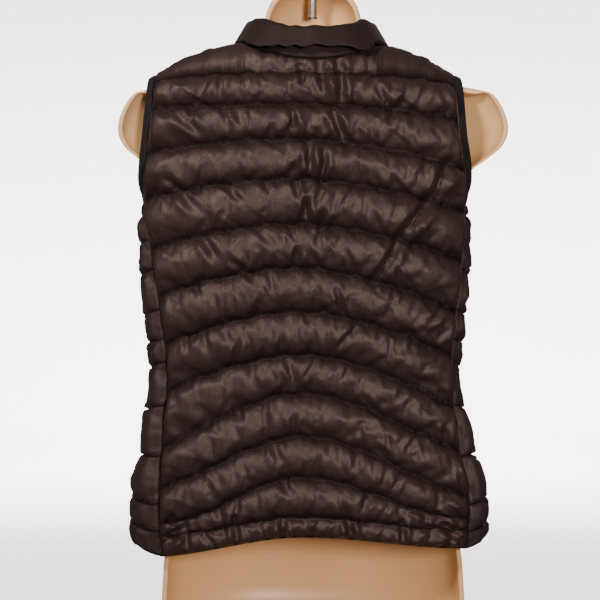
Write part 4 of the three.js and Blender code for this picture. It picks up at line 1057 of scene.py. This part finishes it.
def threadedStud():
    # The stud's radius by height, less a thread: depth * |2 * fraction(z / pitch - turn) - 1|.
    top = stud["crown"]
    heights = [stud["foot"], top - 15, top - 14.9, top - 12.1, top - 12, top + 0.8, top + 0.9, top + 4,
               top + 8, top + 14]
    radii = [stud["radius"], stud["radius"], stud["washer"], stud["washer"], stud["radius"], stud["radius"],
             stud["washer"], stud["washer"], stud["neck"], stud["neck"]]
    z = np.sort(np.r_[np.arange(stud["foot"], top + 14, 0.22), heights])
    base = np.interp(z, heights, radii)[:, None]
    angle = (np.arange(32) / 32)[None, :]
    saw = np.abs(2 * ((z[:, None] / stud["pitch"] - angle) % 1) - 1)
    onRod = (np.abs(base - stud["radius"]) < 0.01) | (np.abs(base - stud["neck"]) < 0.01)
    radius = base - stud["threadDepth"] * saw * onRod
    radius = np.concatenate([0.05 + 0 * radius[:1], radius, 0.05 + 0 * radius[-1:]])
    z = np.r_[z[0], z, z[-1]][:, None]
    turn = angle * 2 * np.pi
    x, y = stud["x"] + radius * np.cos(turn), stud["y"] + radius * np.sin(turn)
    points = np.stack([x, y, z + 0 * turn], axis=-1)
    rows = len(points)
    caps = [[0, a + 1, a + 2, a + 3] for a in range(0, 29, 2)]
    tops = [[(rows - 1) * 32 + k for k in quad][::-1] for quad in caps]
    faces = np.concatenate([gridFaces(rows, 32, closedColumns=True), np.array(caps + tops)])
    return newMesh("studThreaded", points, facingOut(points, faces), steel)


for piece, node, slotName in ((zipTeeth(), "zip_chain", "zip"), (threadedStud(), "hook_stud", "steel")):
    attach(piece, "vest")
    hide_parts(node)

print("camera and light")
view = {"x": -0.0159, "z": -0.4605, "backY": -0.061, "distance": 1.3, "width": 0.708}
camera = bpy.data.objects.new("camera", bpy.data.cameras.new("camera"))
camera.data.sensor_width = 36
camera.data.lens = 36 * view["distance"] / view["width"]
camera.location = (view["x"], view["backY"] - view["distance"], view["z"])
camera.rotation_euler = (math.pi / 2, 0, 0)
bpy.context.scene.collection.objects.link(camera)
bpy.context.scene.camera = camera


def addLight(name, place, target, size, watts, color, lit=None):
    data = bpy.data.lights.new(name, "AREA")
    data.shape = "RECTANGLE"
    data.size, data.size_y = size
    data.energy = watts
    data.color = color
    lamp = bpy.data.objects.new(name, data)
    lamp.location = place
    aim = np.array(target) - np.array(place)
    tilt, heading = math.atan2(np.hypot(aim[0], aim[1]), -aim[2]), math.atan2(aim[1], aim[0])
    lamp.rotation_euler = (tilt, 0, heading - math.pi / 2)
    bpy.context.scene.collection.objects.link(lamp)
    if lit:
        lamp.light_linking.receiver_collection = lit


addLight("key", (-0.75, -1.15, 0.45), (0, -0.05, -0.5), (0.3, 0.25), 21, (1, 0.91, 0.84))
addLight("flash", (0.4, -1.6, -0.3), (0, 0, -0.5), (0.3, 0.3), 21, (1, 0.91, 0.84))
addLight("back", (0.3, 1.9, 0.3), (0, 0, -0.5), (1.6, 1.0), 8, (1, 0.94, 0.88))

paleWall = bpy.data.materials.new("paleWall")
paleWall.use_nodes = True
paleWall.node_tree.nodes["Principled BSDF"].inputs["Base Color"].default_value = (0.88, 0.86, 0.83, 1)
paleWall.node_tree.nodes["Principled BSDF"].inputs["Roughness"].default_value = 0.9
backdrop = {"floorGap": 0.045, "flat": 2.2, "rim": 5.0, "height": 4.5}


def backdropBowl():
    # A flat floor round the part that rises at its rim in a quarter of an ellipse.
    lowest = cadBox[0][2] - backdrop["floorGap"]
    turn = np.linspace(0, np.pi / 2, 25)[1:]
    radius = np.r_[0.001, backdrop["flat"], lerp(backdrop["flat"], backdrop["rim"], np.sin(turn))]
    height = np.r_[0, 0, backdrop["height"] * (1 - np.cos(turn))] + lowest
    around = np.arange(96) / 96 * 2 * np.pi
    x = radius[:, None] * np.cos(around)
    y = radius[:, None] * np.sin(around)
    points = np.stack([x, y, np.broadcast_to(height[:, None], x.shape)], axis=-1)
    return newMesh("floor", points * 1000 - origin, gridFaces(*x.shape, closedColumns=True), paleWall)


floor = backdropBowl()
# As if flagged off: the bright backdrop is seen, and throws no light back at the part
floor.visible_diffuse = False
floor.visible_glossy = False
backdropOnly = bpy.data.collections.new("backdropOnly")
backdropOnly.objects.link(floor)
addLight("floorLamp", (0, 0.9, 1.2), (0, 1.1, -1), (2.4, 1.2), 150, (1, 0.98, 0.95), backdropOnly)
for k in range(3):
    across = 1.1 * (k - 1)
    addLight("backdropLamp%d" % k, (across, 1.2, 0.9), (1.6 * across, 5, -0.2), (1.0, 1.0), 210,
             (1, 0.98, 0.95), backdropOnly)
world = bpy.data.worlds.new("world")
bpy.context.scene.world = world
world.use_nodes = True
world.node_tree.nodes["Background"].inputs["Color"].default_value = (0.86, 0.85, 0.83, 1)
world.node_tree.nodes["Background"].inputs["Strength"].default_value = 0.12

print("done")
